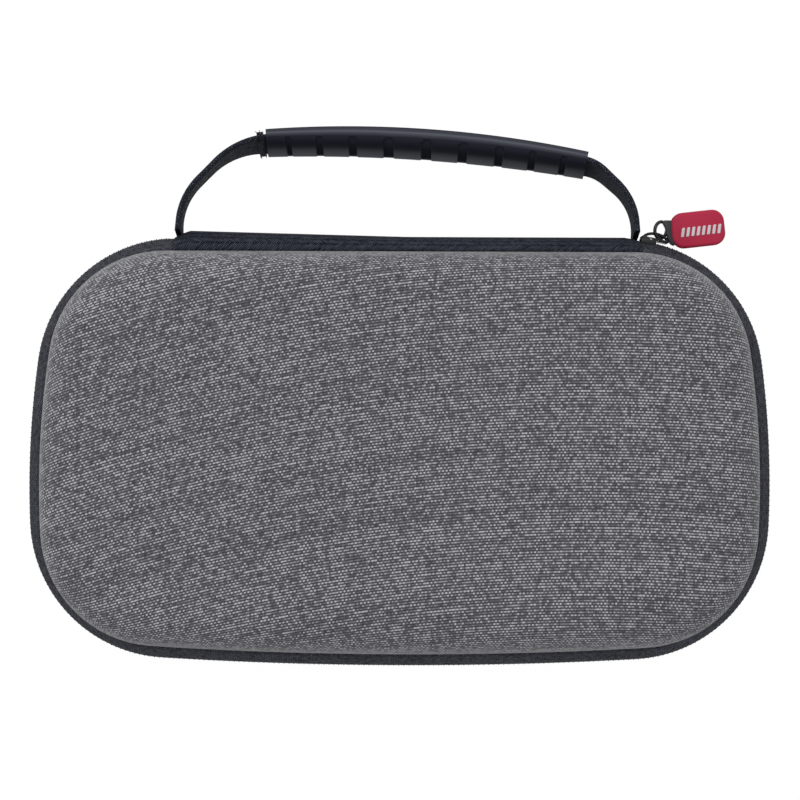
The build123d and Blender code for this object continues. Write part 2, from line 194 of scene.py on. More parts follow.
class Pattern(Enum):
    """Shader node groups that the finishes share, each with the names of its sizes."""

    PLAIN_WEAVE = ("Warp", "Weft")
    HERRINGBONE = ("Pitch", "Row")
    RIBS = ("Pitch", "Float")
    GRAIN = ("Size",)

    def group(self) -> bpy.types.NodeTree:
        """Give the group, which takes a Vector and the sizes.

        Returns:
            The group with the outputs Tone and Height, made on the first call.
        """
        name = self.name.lower()
        if name in bpy.data.node_groups:
            return bpy.data.node_groups[name]
        tree = bpy.data.node_groups.new(name, "ShaderNodeTree")
        tree.interface.new_socket("Vector", in_out="INPUT", socket_type="NodeSocketVector")
        for label in self.value:
            tree.interface.new_socket(label, in_out="INPUT", socket_type="NodeSocketFloat")
        for label in ("Tone", "Height"):
            tree.interface.new_socket(label, in_out="OUTPUT", socket_type="NodeSocketFloat")
        n = Nodes(tree)
        given = n.put("NodeGroupInput").outputs
        draw = getattr(self, name)
        tone, height = draw(n, given["Vector"], *(given[label] for label in self.value))
        n.feed(n.put("NodeGroupOutput"), {"Tone": tone, "Height": height})
        return tree

    @staticmethod
    def plain_weave(n: Nodes, place: NodeSocket, warp: NodeSocket, weft: NodeSocket) -> tuple:
        """One-over-one weave of uneven yarns.

        Args:
            n: Nodes of the group.
            place: Place on the cloth.
            warp: Pitch of the warp.
            weft: Pitch of the weft.

        Returns:
            Tone, with painted shade towards the yarns' edges, and height of the yarn that lies on top.
        """
        x, y = n.parts(place)
        u, v = n.math("DIVIDE", x, warp), n.math("DIVIDE", y, weft)
        column, row = n.math("FLOOR", u), n.math("FLOOR", v)
        bulge_warp, bulge_weft = n.hump(n.math("FRACT", u)), n.hump(n.math("FRACT", v))
        half_sum = n.times(n.math("ADD", column, row), 0.5)
        weft_on_top = n.times(n.math("FRACT", half_sum), 2.0)
        slub = n.put("ShaderNodeTexWhiteNoise", {"W": row}, noise_dimensions="1D").outputs["Value"]
        along_weft = n.pair(n.times(u, 0.22), n.times(row, 9.73))
        along_warp = n.pair(n.times(column, 7.31), n.times(v, 0.3))
        bright = n.math("ADD", n.noise(along_weft, 1.0, 1.0), n.times(slub, 0.25))
        weft_tone = n.times(n.between(0.1, 1.5, bright), n.between(0.45, 1.45, n.chance(column, row)))
        weft_tone = n.times(weft_tone, n.between(0.55, 1.0, weft_on_top))
        warp_tone = n.between(-0.1, 0.75, n.noise(along_warp, 1.0, 1.0))
        # Each yarn's tone falls to nought at its edges: painted shade on the round yarns and in the gaps
        # between them.
        over = n.times(weft_tone, n.math("POWER", bulge_weft, 1.5))
        under = n.times(n.times(warp_tone, bulge_warp), n.math("SUBTRACT", 1.0, weft_on_top))
        height = n.between(bulge_warp, bulge_weft, n.between(0.35, 1.0, weft_on_top))
        return n.math("MAXIMUM", over, under, clamp=True), height

    @staticmethod
    def herringbone(n: Nodes, place: NodeSocket, pitch: NodeSocket, row: NodeSocket) -> tuple:
        """Slanting ribs that change side from row to row, as on woven tape.

        Args:
            n: Nodes of the group.
            place: Place on the cloth.
            pitch: Pitch of the ribs.
            row: Width of a row.

        Returns:
            Tone, with painted shade in the grooves, and height of the ribs.
        """
        x, y = n.parts(place)
        v = n.math("DIVIDE", y, row)
        slant = n.times(n.math("PINGPONG", v, 1.0), row)
        u = n.math("DIVIDE", n.math("ADD", x, slant), pitch)
        ends = n.math("POWER", n.hump(n.math("FRACT", v)), 0.12)
        height = n.times(n.math("ABSOLUTE", n.hump(u)), ends)
        strand = n.pair(n.times(n.math("FLOOR", u), 5.7), n.times(y, 0.5))
        # The tone follows the height: painted shade in the grooves between the ribs.
        return n.times(height, n.between(0.3, 1.5, n.noise(strand, 1.0, 1.0))), height

    @staticmethod
    def ribs(n: Nodes, place: NodeSocket, pitch: NodeSocket, float_width: NodeSocket) -> tuple:
        """Cross ribs made of rows of short floats, as on webbing, binding and elastic.

        Args:
            n: Nodes of the group.
            place: Place on the cloth.
            pitch: Pitch of the ribs.
            float_width: Width of a row of floats.

        Returns:
            Tone, with painted shade in the grooves, and height of the floats.
        """
        x, y = n.parts(place)
        v = n.math("DIVIDE", y, float_width)
        lane = n.math("FLOOR", v)
        staggered = n.math("ADD", n.math("DIVIDE", x, pitch), n.times(lane, 0.5))
        yarn = n.hump(n.math("FRACT", v))
        height = n.times(n.math("ABSOLUTE", n.hump(staggered)), n.between(0.35, 1.0, yarn))
        uneven = n.chance(n.math("FLOOR", staggered), lane)
        # The tone follows the height: painted shade in the grooves between the floats.
        return n.times(height, n.between(0.5, 1.2, uneven)), height

    @staticmethod
    def grain(n: Nodes, place: NodeSocket, size: NodeSocket) -> tuple:
        """Fine moulded grain with slow cloudy variation.

        Args:
            n: Nodes of the group.
            place: Place on the moulding.
            size: Size of the grain.

        Returns:
            Tone and height of the grain.
        """
        scale = n.math("DIVIDE", 1.0, size)
        fine = n.put("ShaderNodeTexNoise", {"Vector": place, "Scale": scale, "Detail": 3.0}).outputs[0]
        return n.between(fine, n.noise(place, 90.0, 3.0), 0.6), fine


@dataclass(frozen=True)
class Finish:
    """Finish of one or more pieces."""

    name: str

    def build(self) -> bpy.types.Material:
        """Give the material.

        Returns:
            The material of this name, made on the first call.
        """
        if self.name in bpy.data.materials:
            return bpy.data.materials[self.name]
        material = bpy.data.materials.new(self.name)
        material.use_nodes = True
        n = Nodes(material.node_tree)
        self.dress(n, n.tree.nodes["Principled BSDF"])
        return material

    def dress(self, n: Nodes, shader: Node) -> None:
        """Set up the shader, which each kind of finish does in its own way."""
        raise NotImplementedError

    @staticmethod
    def moulded(n: Nodes, shader: Node, size: float, roughness: float, depth: float) -> NodeSocket:
        """Give a shader the roughness and relief of a moulding.

        Args:
            n: Nodes of the material.
            shader: Its shader.
            size: Size of the grain.
            roughness: Middle of the roughness.
            depth: Depth of the relief.

        Returns:
            Tone of the grain.
        """
        place = n.put("ShaderNodeTexCoord").outputs["Object"]
        inputs = {"Vector": place, "Size": size * MM}
        grain = n.put("ShaderNodeGroup", inputs, node_tree=Pattern.GRAIN.group()).outputs
        relief = {"Distance": depth * MM, "Height": grain["Height"], "Strength": 0.5}
        bump = n.put("ShaderNodeBump", relief).outputs[0]
        rough = n.between(roughness - 0.08, roughness + 0.08, grain["Tone"])
        n.feed(shader, {"Roughness": rough, "Normal": bump})
        return grain["Tone"]


@dataclass(frozen=True)
class ClothFinish(Finish):
    """Woven cloth whose pattern follows the piece's own weave map."""

    weave: Pattern
    pitches: tuple[float, float]
    dark: Colour
    middle: Colour
    light: Colour
    middle_place: float = 0.45
    roughness: float = 0.9
    sheen: float = 0.0
    gloss: float = 0.2
    depth: float = 0.15
    mottle: float = 0.12

    def dress(self, n: Nodes, shader: Node) -> None:
        """Draw the weave.

        Args:
            n: Nodes of the material.
            shader: Its shader.
        """
        place = n.put("ShaderNodeUVMap", uv_map=WEAVE_MAP).outputs[0]
        inputs = {0: place, 1: self.pitches[0], 2: self.pitches[1]}
        weave = n.put("ShaderNodeGroup", inputs, node_tree=self.weave.group()).outputs
        patches = n.noise(place, 0.05, 4.0)
        tone = n.times(weave["Tone"], n.between(1 - self.mottle, 1 + self.mottle, patches))
        stops = ((0.0, self.dark), (self.middle_place, self.middle), (1.0, self.light))
        relief = {"Distance": self.depth * MM, "Height": weave["Height"], "Strength": 0.6}
        look = {
            "Base Color": n.ramp(tone, stops),
            "Roughness": n.between(self.roughness, self.roughness - 0.12, weave["Height"]),
            "Normal": n.put("ShaderNodeBump", relief).outputs[0],
            "Specular IOR Level": self.gloss,
            "Sheen Weight": self.sheen,
            "Sheen Roughness": 0.5,
        }
        n.feed(shader, look)


@dataclass(frozen=True)
class MouldedFinish(Finish):
    """Moulded rubber, nylon or enamel with fine grain and, where metal_wear is set, bright spots."""

    colour: Colour
    worn: Colour
    grain_size: float
    roughness: float
    gloss: float = 0.4
    depth: float = 0.05
    metal_wear: float = 0.0
    bare_metal: Colour = (0.75, 0.74, 0.76)

    def dress(self, n: Nodes, shader: Node) -> None:
        """Draw the grain and the spots worn to the metal.

        Args:
            n: Nodes of the material.
            shader: Its shader.
        """
        tone = self.moulded(n, shader, self.grain_size, self.roughness, self.depth)
        shade = tuple(0.75 * c for c in self.colour)
        colour = n.ramp(tone, ((0.3, shade), (0.5, self.colour), (0.72, self.worn)))
        if self.metal_wear:
            spots = n.noise(n.put("ShaderNodeTexCoord").outputs["Object"], 900.0, 2.0)
            bare = n.math("GREATER_THAN", spots, 1 - self.metal_wear)
            colour = n.cover(bare, colour, self.bare_metal)
            n.feed(shader, {"Metallic": bare})
        n.feed(shader, {"Base Color": colour, "Specular IOR Level": self.gloss})


@dataclass(frozen=True)
class GripFinish(Finish):
    """Matt rubber with painted light: a painted highlight on its mould line, painted shade deepening down its
    side, painted light along its lower edge and painted shade inside its slots.
    """

    colour: Colour
    # Colour of the painted highlight on the mould line and of the painted light along the lower edge.
    painted_light_colour: Colour
    # Colour of the painted shade inside the finger slots.
    slot: Colour
    grain_size: float = 0.35
    roughness: float = 0.6
    depth: float = 0.03
    gloss: float = 0.05

    def dress(self, n: Nodes, shader: Node) -> None:
        """Paint the highlight, shade and light across the grip, and the shade in its slots, by the marks that
        the grip's vertices carry.

        Args:
            n: Nodes of the material.
            shader: Its shader.
        """
        tone = self.moulded(n, shader, self.grain_size, self.roughness, self.depth)
        # The facing mark holds how far down the grip a point lies as the camera sees it; the ramp on it
        # paints the light and shade across the grip.
        painted_light_share = n.put("ShaderNodeAttribute", attribute_name="facing").outputs["Fac"]
        in_slot = n.put("ShaderNodeAttribute", attribute_name="slack").outputs["Fac"]
        half = tuple(0.5 * (a + b) for a, b in zip(self.colour, self.painted_light_colour))
        shade = tuple(0.7 * c for c in self.colour)
        # Painted highlight on the mould line.
        painted_ridge_highlight = ((0.0, self.colour), (0.1, half), (0.15, self.painted_light_colour), (0.2, half), (0.3, self.colour))
        # Painted shade deepening down the side, then painted light along the lower edge.
        painted_lower_light = ((0.68, shade), (0.8, half), (0.93, self.painted_light_colour))
        uneven = n.math("ADD", painted_light_share, n.between(-0.02, 0.02, tone))
        body = n.ramp(uneven, painted_ridge_highlight + painted_lower_light)
        # Painted shade inside the slots, which also lose their gloss.
        gloss = n.between(self.gloss, 0.0, in_slot)
        n.feed(shader, {"Base Color": n.cover(in_slot, body, self.slot), "Specular IOR Level": gloss})


HEATHER = ClothFinish(
    "grey_heather_cloth",
    Pattern.PLAIN_WEAVE,
    (0.59, 0.93),
    dark=(0.013, 0.013, 0.017),
    middle=(0.128, 0.126, 0.142),
    light=(0.5, 0.49, 0.53),
    sheen=0.23,
    depth=0.12,
)
ZIP_TAPE = ClothFinish(
    "black_zip_tape",
    Pattern.HERRINGBONE,
    (0.8, 1.3),
    dark=(0.002, 0.0022, 0.0035),
    middle=(0.01, 0.011, 0.016),
    light=(0.13, 0.134, 0.16),
    gloss=0.08,
    depth=0.12,
)
SPINE_TWILL = ClothFinish(
    "black_spine_twill",
    Pattern.HERRINGBONE,
    (0.8, 2.6),
    dark=(0.0015, 0.0018, 0.003),
    middle=(0.005, 0.006, 0.01),
    light=(0.085, 0.095, 0.125),
    gloss=0.05,
    depth=0.3,
)
WEBBING = ClothFinish(
    "black_webbing",
    Pattern.RIBS,
    (1.15, 0.7),
    dark=(0.005, 0.0055, 0.009),
    middle=(0.019, 0.021, 0.031),
    light=(0.075, 0.08, 0.1),
    gloss=0.12,
    depth=0.35,
)
BINDING = ClothFinish(
    "black_grosgrain",
    Pattern.RIBS,
    (0.9, 12.0),
    dark=(0.01, 0.01, 0.013),
    middle=(0.026, 0.028, 0.034),
    light=(0.055, 0.058, 0.068),
)
ELASTIC = ClothFinish(
    "black_elastic",
    Pattern.RIBS,
    (1.2, 0.8),
    dark=(0.012, 0.012, 0.015),
    middle=(0.032, 0.034, 0.04),
    light=(0.075, 0.078, 0.09),
    depth=0.25,
)
LINING = ClothFinish(
    "dark_grey_lining",
    Pattern.PLAIN_WEAVE,
    (0.35, 0.4),
    dark=(0.012, 0.012, 0.015),
    middle=(0.034, 0.035, 0.04),
    light=(0.075, 0.077, 0.085),
    sheen=0.15,
    depth=0.05,
    mottle=0.3,
)
COIL_NYLON = MouldedFinish(
    "black_coil_nylon", (0.015, 0.016, 0.02), (0.024, 0.025, 0.03), 0.3, 0.6, gloss=0.2, depth=0.02
)
NET_YARN = MouldedFinish(
    "black_net_yarn", (0.024, 0.025, 0.03), (0.045, 0.047, 0.054), 0.25, 0.75, gloss=0.25
)
SEWING_THREAD = MouldedFinish(
    "black_sewing_thread", (0.028, 0.03, 0.036), (0.06, 0.063, 0.072), 0.2, 0.7, gloss=0.3
)
# The pale colour paints the highlight on the mould line and the light along the grip's lower edge, and the
# slot colour paints the shade inside the finger slots.
GRIP_RUBBER = GripFinish(
    "black_grip_rubber",
    colour=(0.02, 0.0215, 0.032),
    painted_light_colour=(0.105, 0.11, 0.135),
    slot=(0.026, 0.028, 0.038),
)
LINK_RUBBER = MouldedFinish(
    "black_link_rubber", (0.008, 0.009, 0.012), (0.016, 0.018, 0.023), 0.3, 0.4, gloss=0.35, depth=0.02
)
SLIDER_ENAMEL = MouldedFinish(
    "black_slider_enamel",
    (0.004, 0.004, 0.006),
    (0.01, 0.011, 0.014),
    0.5,
    0.4,
    gloss=0.25,
    depth=0.01,
    metal_wear=0.34,
)
TAG_RUBBER = MouldedFinish(
    "red_tag_rubber", (0.43, 0.018, 0.055), (0.46, 0.026, 0.064), 0.3, 0.55, gloss=0.2, depth=0.03
)
TAG_RIBS = MouldedFinish(
    "off_white_tag_ribs", (0.62, 0.57, 0.59), (0.7, 0.66, 0.67), 0.3, 0.5, gloss=0.35, depth=0.03
)


def ahead_of(heading: float) -> Vector:
    """Level direction of a heading."""
    return Vector((math.cos(heading), math.sin(heading), 0.0))


def left_of(heading: float) -> Vector:
    """Level direction to the left of a heading."""
    return Vector((-math.sin(heading), math.cos(heading), 0.0))


@dataclass(frozen=True)
class Knot:
    """Point of a section that is swept along a path.

    offset is the distance to the left of the path, height is upwards, across is the length along
    the section, and slack is how much further the cloth reaches than its plan shows.
    """

    offset: float
    height: float
    across: float = 0.0
    slack: float = 0.0


@dataclass(frozen=True)
class Leg:
    """Stretch of a path: straight where turn is 0, otherwise bending to the right."""

    length: float
    turn: float = 0.0
    steps: int = 1


@dataclass(frozen=True)
class SweepPath:
    """Level path of straight runs and bends that a section is spun and drawn along."""

    start: tuple[float, float]
    heading: float
    legs: tuple[Leg, ...]

    def sweep(self, bm: BMesh, section: list[Knot], ring: bool) -> tuple[list[BMEdge], list[BMEdge]]:
        """Sweep a section along the path and mark how far along each vertex lies.

        Args:
            bm: Mesh from new_bmesh, which gets the swept faces.
            section: Knots of the section in order.
            ring: True if the last knot joins the first.

        Returns:
            The edges of the section at the path's start and at its end.
        """
        marks = bm.verts.layers.float
        along, facing = marks["along"], marks["facing"]
        place = Vector((*self.start, 0.0))
        heading = self.heading
        left = left_of(heading)
        verts = []
        for knot in section:
            vert = bm.verts.new(place + left * knot.offset + Vector((0, 0, knot.height)))
            verts.append(vert)
            vert[marks["across"]] = knot.across
            vert[marks["slack"]] = knot.slack
            vert[facing] = heading
        pairs = list(zip(verts, verts[1:])) + ([(verts[-1], verts[0])] if ring else [])
        first = [bm.edges.new(pair) for pair in pairs]
        geom = verts + first
        travelled = 0.0
        for leg in self.legs:
            step_turn = leg.turn / leg.steps
            step_length = leg.length / leg.steps
            for _ in range(leg.steps):
                if leg.turn:
                    centre = place - left_of(heading) * (step_length / step_turn)
                    step = {"cent": centre, "axis": (0, 0, -1), "angle": step_turn}
                    place = centre + Matrix.Rotation(-step_turn, 3, "Z") @ (place - centre)
                else:
                    onward = ahead_of(heading) * step_length
                    step = {"cent": place, "axis": (0, 0, 1), "dvec": onward, "angle": 0.0}
                    place = place + onward
                made = bmesh.ops.spin(bm, geom=geom, steps=1, **step)
                heading -= step_turn
                travelled += step_length
                geom = made["geom_last"]
                for item in geom:
                    if isinstance(item, BMVert):
                        item[along] = travelled
                        item[facing] = heading
        return first, [item for item in geom if isinstance(item, BMEdge)]

    def stations(self) -> list[tuple[Vector, float]]:
        """Stations along the path.

        Returns:
            Place and heading at the end of every step.
        """
        place = Vector((*self.start, 0.0))
        heading = self.heading
        found = []
        for leg in self.legs:
            step_turn = leg.turn / leg.steps
            step_length = leg.length / leg.steps
            for _ in range(leg.steps):
                middle = heading - step_turn / 2
                chord = step_length
                if leg.turn:
                    chord = 2 * step_length / step_turn * math.sin(step_turn / 2)
                place = place + ahead_of(middle) * chord
                heading -= step_turn
                found.append((place.copy(), heading))
        return found


def new_bmesh() -> BMesh:
    """Start a mesh.

    Returns:
        An empty mesh with the marks that swept vertices carry and the weave map.
    """
    bm = bmesh.new()
    for name in ("along", "across", "facing", "slack"):
        bm.verts.layers.float.new(name)
    bm.loops.layers.uv.new(WEAVE_MAP)
    return bm


def map_strip(bm: BMesh) -> None:
    """Lay the weave map of a strip: along it and across it.

    Args:
        bm: The swept strip.
    """
    along = bm.verts.layers.float["along"]
    across = bm.verts.layers.float["across"]
    uv = bm.loops.layers.uv[WEAVE_MAP]
    for face in bm.faces:
        for loop in face.loops:
            loop[uv].uv = (loop.vert[along], loop.vert[across])


def strip_section(points: list[tuple[float, float]]) -> list[Knot]:
    """Knots of a section with the length across it counted up.

    Args:
        points: Offsets and heights of the section's points in order.

    Returns:
        One knot for each point.
    """
    knots = []
    across = 0.0
    for number, (offset, height) in enumerate(points):
        if number:
            across += math.dist(points[number - 1], points[number])
        knots.append(Knot(offset, height, across))
    return knots


def close_ends(bm: BMesh, *ends: list[BMEdge]) -> None:
    """Close each open end of a sweep with a face."""
    for edges in ends:
        bmesh.ops.edgeloop_fill(bm, edges=edges)


def is_level(edge: BMEdge) -> bool:
    """True if both ends of an edge lie at one height."""
    return abs(edge.verts[0].co.z - edge.verts[1].co.z) < 1e-6


def soften(bm: BMesh, edges: set[BMEdge], radius: float, segments: int) -> list[BMVert]:
    """Round edges of a block.

    Args:
        bm: Mesh that the block is in.
        edges: The edges.
        radius: Radius of the rounding.
        segments: Faces across it.

    Returns:
        The vertices of the new faces.
    """
    made = bmesh.ops.bevel(
        bm,
        geom=list(edges),
        offset=radius,
        affect="EDGES",
        segments=segments,
        profile=0.5,
        material=-1,
    )
    return list({v for f in made["faces"] for v in f.verts})


def add_prism(bm: BMesh, corners: list[tuple[float, float]], bottom: float, height: float) -> list[BMVert]:
    """Add an upright prism.

    Args:
        bm: Mesh that gets the prism.
        corners: Its outline.
        bottom: Height of its lower face.
        height: Its thickness.

    Returns:
        Its vertices.
    """
    low = [bm.verts.new((x, y, bottom)) for x, y in corners]
    made = bmesh.ops.extrude_face_region(bm, geom=[bm.faces.new(low)])["geom"]
    top = [v for v in made if isinstance(v, BMVert)]
    bmesh.ops.translate(bm, vec=(0, 0, height), verts=top)
    return [*low, *top]


def make_piece(
    bm: BMesh,
    name: str,
    body: str | None,
    finish: Finish,
    replaced: tuple[str, ...] = (),
    sharp_deg: float = 40.0,
) -> bpy.types.Object:
    """Turn a mesh in millimetres into a finished piece of the case.

    Args:
        bm: The mesh, which is freed.
        name: Name of the piece.
        body: Body that the piece rides on, or None where it is blended later.
        finish: Finish that dresses it.
        replaced: CAD nodes that the piece stands for.
        sharp_deg: Edges that turn more than this stay sharp.

    Returns:
        The new object.
    """
    bmesh.ops.remove_doubles(bm, verts=bm.verts, dist=1e-4)
    bmesh.ops.recalc_face_normals(bm, faces=bm.faces)
    bmesh.ops.scale(bm, vec=(MM, MM, MM), verts=bm.verts)
    mesh = bpy.data.meshes.new(name)
    bm.to_mesh(mesh)
    bm.free()
    for polygon in mesh.polygons:
        polygon.use_smooth = True
    mesh.set_sharp_from_angle(angle=math.radians(sharp_deg))
    mesh.materials.append(finish.build())
    piece = bpy.data.objects.new(name, mesh)
    bpy.context.scene.collection.objects.link(piece)
    if body:
        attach(piece, body)
    if replaced:
        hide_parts(*replaced)
    log.info("%s: %d faces", name, len(mesh.polygons))
    return piece


@dataclass(frozen=True)
class RimLine:
    """Outline of the closed case seen from above, over its zip."""

    length: float = 244.5
    width: float = 141.0
    side_radius: float = 306.0
    side_centre: float = -10.8
    front_radius: float = 1350.0
    rear_corner: float = 46.0
    front_corner: float = 46.5
    corner_trim: float = 0.0

    def corners(self) -> tuple[float, float]:
        """Radii of the rear and front corners."""
        return self.rear_corner - self.corner_trim, self.front_corner - self.corner_trim

    def turns(self) -> tuple[float, float, float, float, float]:
        """Work out where the arcs of the outline meet.

        Returns:
            Half the rear straight, then the turns of rear corner, side, front corner and front.
        """
        rear, front = self.corners()
        side = Vector((self.length / 2 - self.side_radius, self.side_centre))
        rear_y = self.width / 2 - rear
        rear_x = side.x + math.sqrt((self.side_radius - rear) ** 2 - (rear_y - side.y) ** 2)
        bow = Vector((0.0, self.front_radius - self.width / 2))
        gap = bow - side
        to_side = self.side_radius - front
        to_bow = self.front_radius - front
        reach = (to_side**2 - to_bow**2 + gap.length_squared) / (2 * gap.length)
        aside = math.sqrt(to_side**2 - reach**2)
        across = Vector((gap.y, -gap.x)).normalized()
        corner = side + gap.normalized() * reach + across * aside
        rear_end = math.atan2(rear_y - side.y, rear_x - side.x)
        side_end = math.atan2(corner.y - side.y, corner.x - side.x)
        front_end = math.atan2(corner.y - bow.y, corner.x - bow.x)
        corner_turns = (math.pi / 2 - rear_end, rear_end - side_end, side_end - front_end)
        return rear_x, *corner_turns, math.pi + 2 * front_end

    def legs(self, spacing: float, skip_right: float = 0.0, skip_left: float = 0.0) -> tuple[Leg, ...]:
        """Legs from the right end of the rear straight round to its left end.

        Args:
            spacing: Length of a step in millimetres.
            skip_right: Turn left out at the start.
            skip_left: Turn left out at the end.

        Returns:
            The legs, clockwise seen from above.
        """
        _, rear_turn, side_turn, front_turn, bow_turn = self.turns()
        rear, front = self.corners()
        right_side = ((self.side_radius, side_turn), (front, front_turn))
        plan = (
            (rear, rear_turn - skip_right),
            *right_side,
            (self.front_radius, bow_turn),
            *right_side[::-1],
            (rear, rear_turn - skip_left),
        )
        return tuple(Leg(r * turn, turn, max(1, round(r * turn / spacing))) for r, turn in plan)

    def whole(self, spacing: float) -> SweepPath:
        """The full outline, from the left end of the rear straight.

        Args:
            spacing: Length of a step in millimetres.

        Returns:
            The closed path.
        """
        half_straight = self.turns()[0]
        straight = Leg(2 * half_straight, 0.0, round(2 * half_straight / spacing))
        return SweepPath((-half_straight, self.width / 2), 0.0, (straight, *self.legs(spacing)))

    def outside_spine(self, left: float, right: float, spacing: float) -> SweepPath:
        """The outline from the spine's right end round to its left end.

        Args:
            left: The spine's left end.
            right: The spine's right end.
            spacing: Length of a step in millimetres.

        Returns:
            The open path.
        """
        half_straight = self.turns()[0]
        radius = self.corners()[0]
        skip_right = math.asin((right - half_straight) / radius)
        skip_left = math.asin((-left - half_straight) / radius)
        start = (right, self.width / 2 - radius + radius * math.cos(skip_right))
        return SweepPath(start, -skip_right, self.legs(spacing, skip_right, skip_left))


@dataclass(frozen=True)
class MouldedHalf:
    """One moulded shell with its cloth outside and its lining inside."""

    half: Half
    rim: RimLine = RimLine(corner_trim=3.1)
    overhang: float = 4.9
    rim_height: float = 11.0
    depth: float = 17.0
    draft_deg: float = 8.0
    edge_radius: float = 12.0
    foam: float = 3.0
    wall: float = 4.0
    rim_roll: float = 0.5
    lining_roll: float = 0.2
    spacing: float = 4.0
    wall_shares: tuple[float, ...] = (0.35, 0.7)
    roll_angles: tuple[float, ...] = (0.0, 0.5, 1.0, math.pi / 2)
    edge_steps: int = 10
    flat_loops: tuple[float, ...] = (0.86, 0.83, 0.8, 0.77, 0.72, 0.66, 0.55, 0.4)
    seam_merge: float = 0.03
    weft_slope: float = 0.128
    weft_bow: float = 0.001

    def skin(self, inward: float, roll: float) -> list[Knot]:
        """Section of the moulded form from its rim to the start of its flat.

        Args:
            inward: Distance in from the cloth's outside.
            roll: Radius that the rim's edge is softened by.

        Returns:
            Knots from the rim to the flat.
        """
        draft = math.radians(self.draft_deg)
        rim = self.overhang + inward
        radius = self.edge_radius - inward
        centre = self.depth - inward - radius
        wall_top = centre + radius * math.sin(draft)
        flat = rim + wall_top * math.tan(draft) + radius * math.cos(draft)
        points = [(rim + roll * (1 - math.sin(a)), roll * (1 - math.cos(a))) for a in self.roll_angles]
        points += [(rim + wall_top * share * math.tan(draft), wall_top * share) for share in self.wall_shares]
        for step in range(self.edge_steps + 1):
            angle = draft + (math.pi / 2 - draft) * step / self.edge_steps
            points.append((flat - radius * math.cos(angle), centre + radius * math.sin(angle)))
        knots = []
        reach = 0.0
        for number in range(len(points) - 1, -1, -1):
            inset, above = points[number]
            if number < len(points) - 1:
                reach += math.dist(points[number], points[number + 1])
            height = self.half.height(self.rim_height + above)
            knots.append(Knot(-inset, height, reach, reach - (flat - inset)))
        return knots[::-1]

    def close_flat(self, bm: BMesh, height: float) -> None:
        """Close the flat inside a ring of open edges with loops that shrink to the middle.

        Args:
            bm: The swept shell.
            height: Height of the flat.
        """
        rims = [e for e in bm.edges if e.is_boundary]
        edges = [e for e in rims if all(abs(v.co.z - height) < 1e-3 for v in e.verts)]
        for share in self.flat_loops:
            made = bmesh.ops.extrude_edge_only(bm, edges=edges)["geom"]
            bmesh.ops.scale(bm, vec=(share, share, 1.0), verts=[v for v in made if isinstance(v, BMVert)])
            edges = [e for e in made if isinstance(e, BMEdge) and e.is_boundary]
        close_ends(bm, edges)

    def solid(self, outer: float, inner: float, roll: float) -> BMesh:
        """Closed shell between two skins of the form.

        Args:
            outer: Distance of its outside in from the cloth.
            inner: Distance of its inside in from the cloth.
            roll: Softening of its outer rim.

        Returns:
            The mesh, with the weave map laid over the form.
        """
        bm = new_bmesh()
        section = self.skin(inner, 0.0)[:2:-1] + self.skin(outer, roll)
        self.rim.whole(self.spacing).sweep(bm, section, ring=False)
        bmesh.ops.remove_doubles(bm, verts=bm.verts, dist=self.seam_merge)
        for inward in (outer, inner):
            self.close_flat(bm, self.half.height(self.rim_height + self.depth - inward))
        self.map_cloth(bm)
        return bm

    def map_cloth(self, bm: BMesh) -> None:
        """Lay the weave map: warp straight to the rear, weft bowed as it was pulled over the mould.

        Args:
            bm: The closed shell.
        """
        slack = bm.verts.layers.float["slack"]
        facing = bm.verts.layers.float["facing"]
        uv = bm.loops.layers.uv[WEAVE_MAP]
        for face in bm.faces:
            for loop in face.loops:
                vert = loop.vert
                x = vert.co.x - math.sin(vert[facing]) * vert[slack]
                y = vert.co.y + math.cos(vert[facing]) * vert[slack]
                loop[uv].uv = (x, y - self.weft_slope * x + self.weft_bow * x * x)

    def build(self) -> None:
        """Make and dress the shell and its lining."""
        side = self.half.value
        shell = self.solid(0.0, self.foam, self.rim_roll)
        make_piece(shell, f"{side}_cloth_shell", side, HEATHER, (f"{side}_shell",), 50.0)
        lining = self.solid(self.foam, self.wall, self.lining_roll)
        make_piece(lining, f"{side}_cloth_lining", side, LINING, (f"{side}_lining",), 50.0)


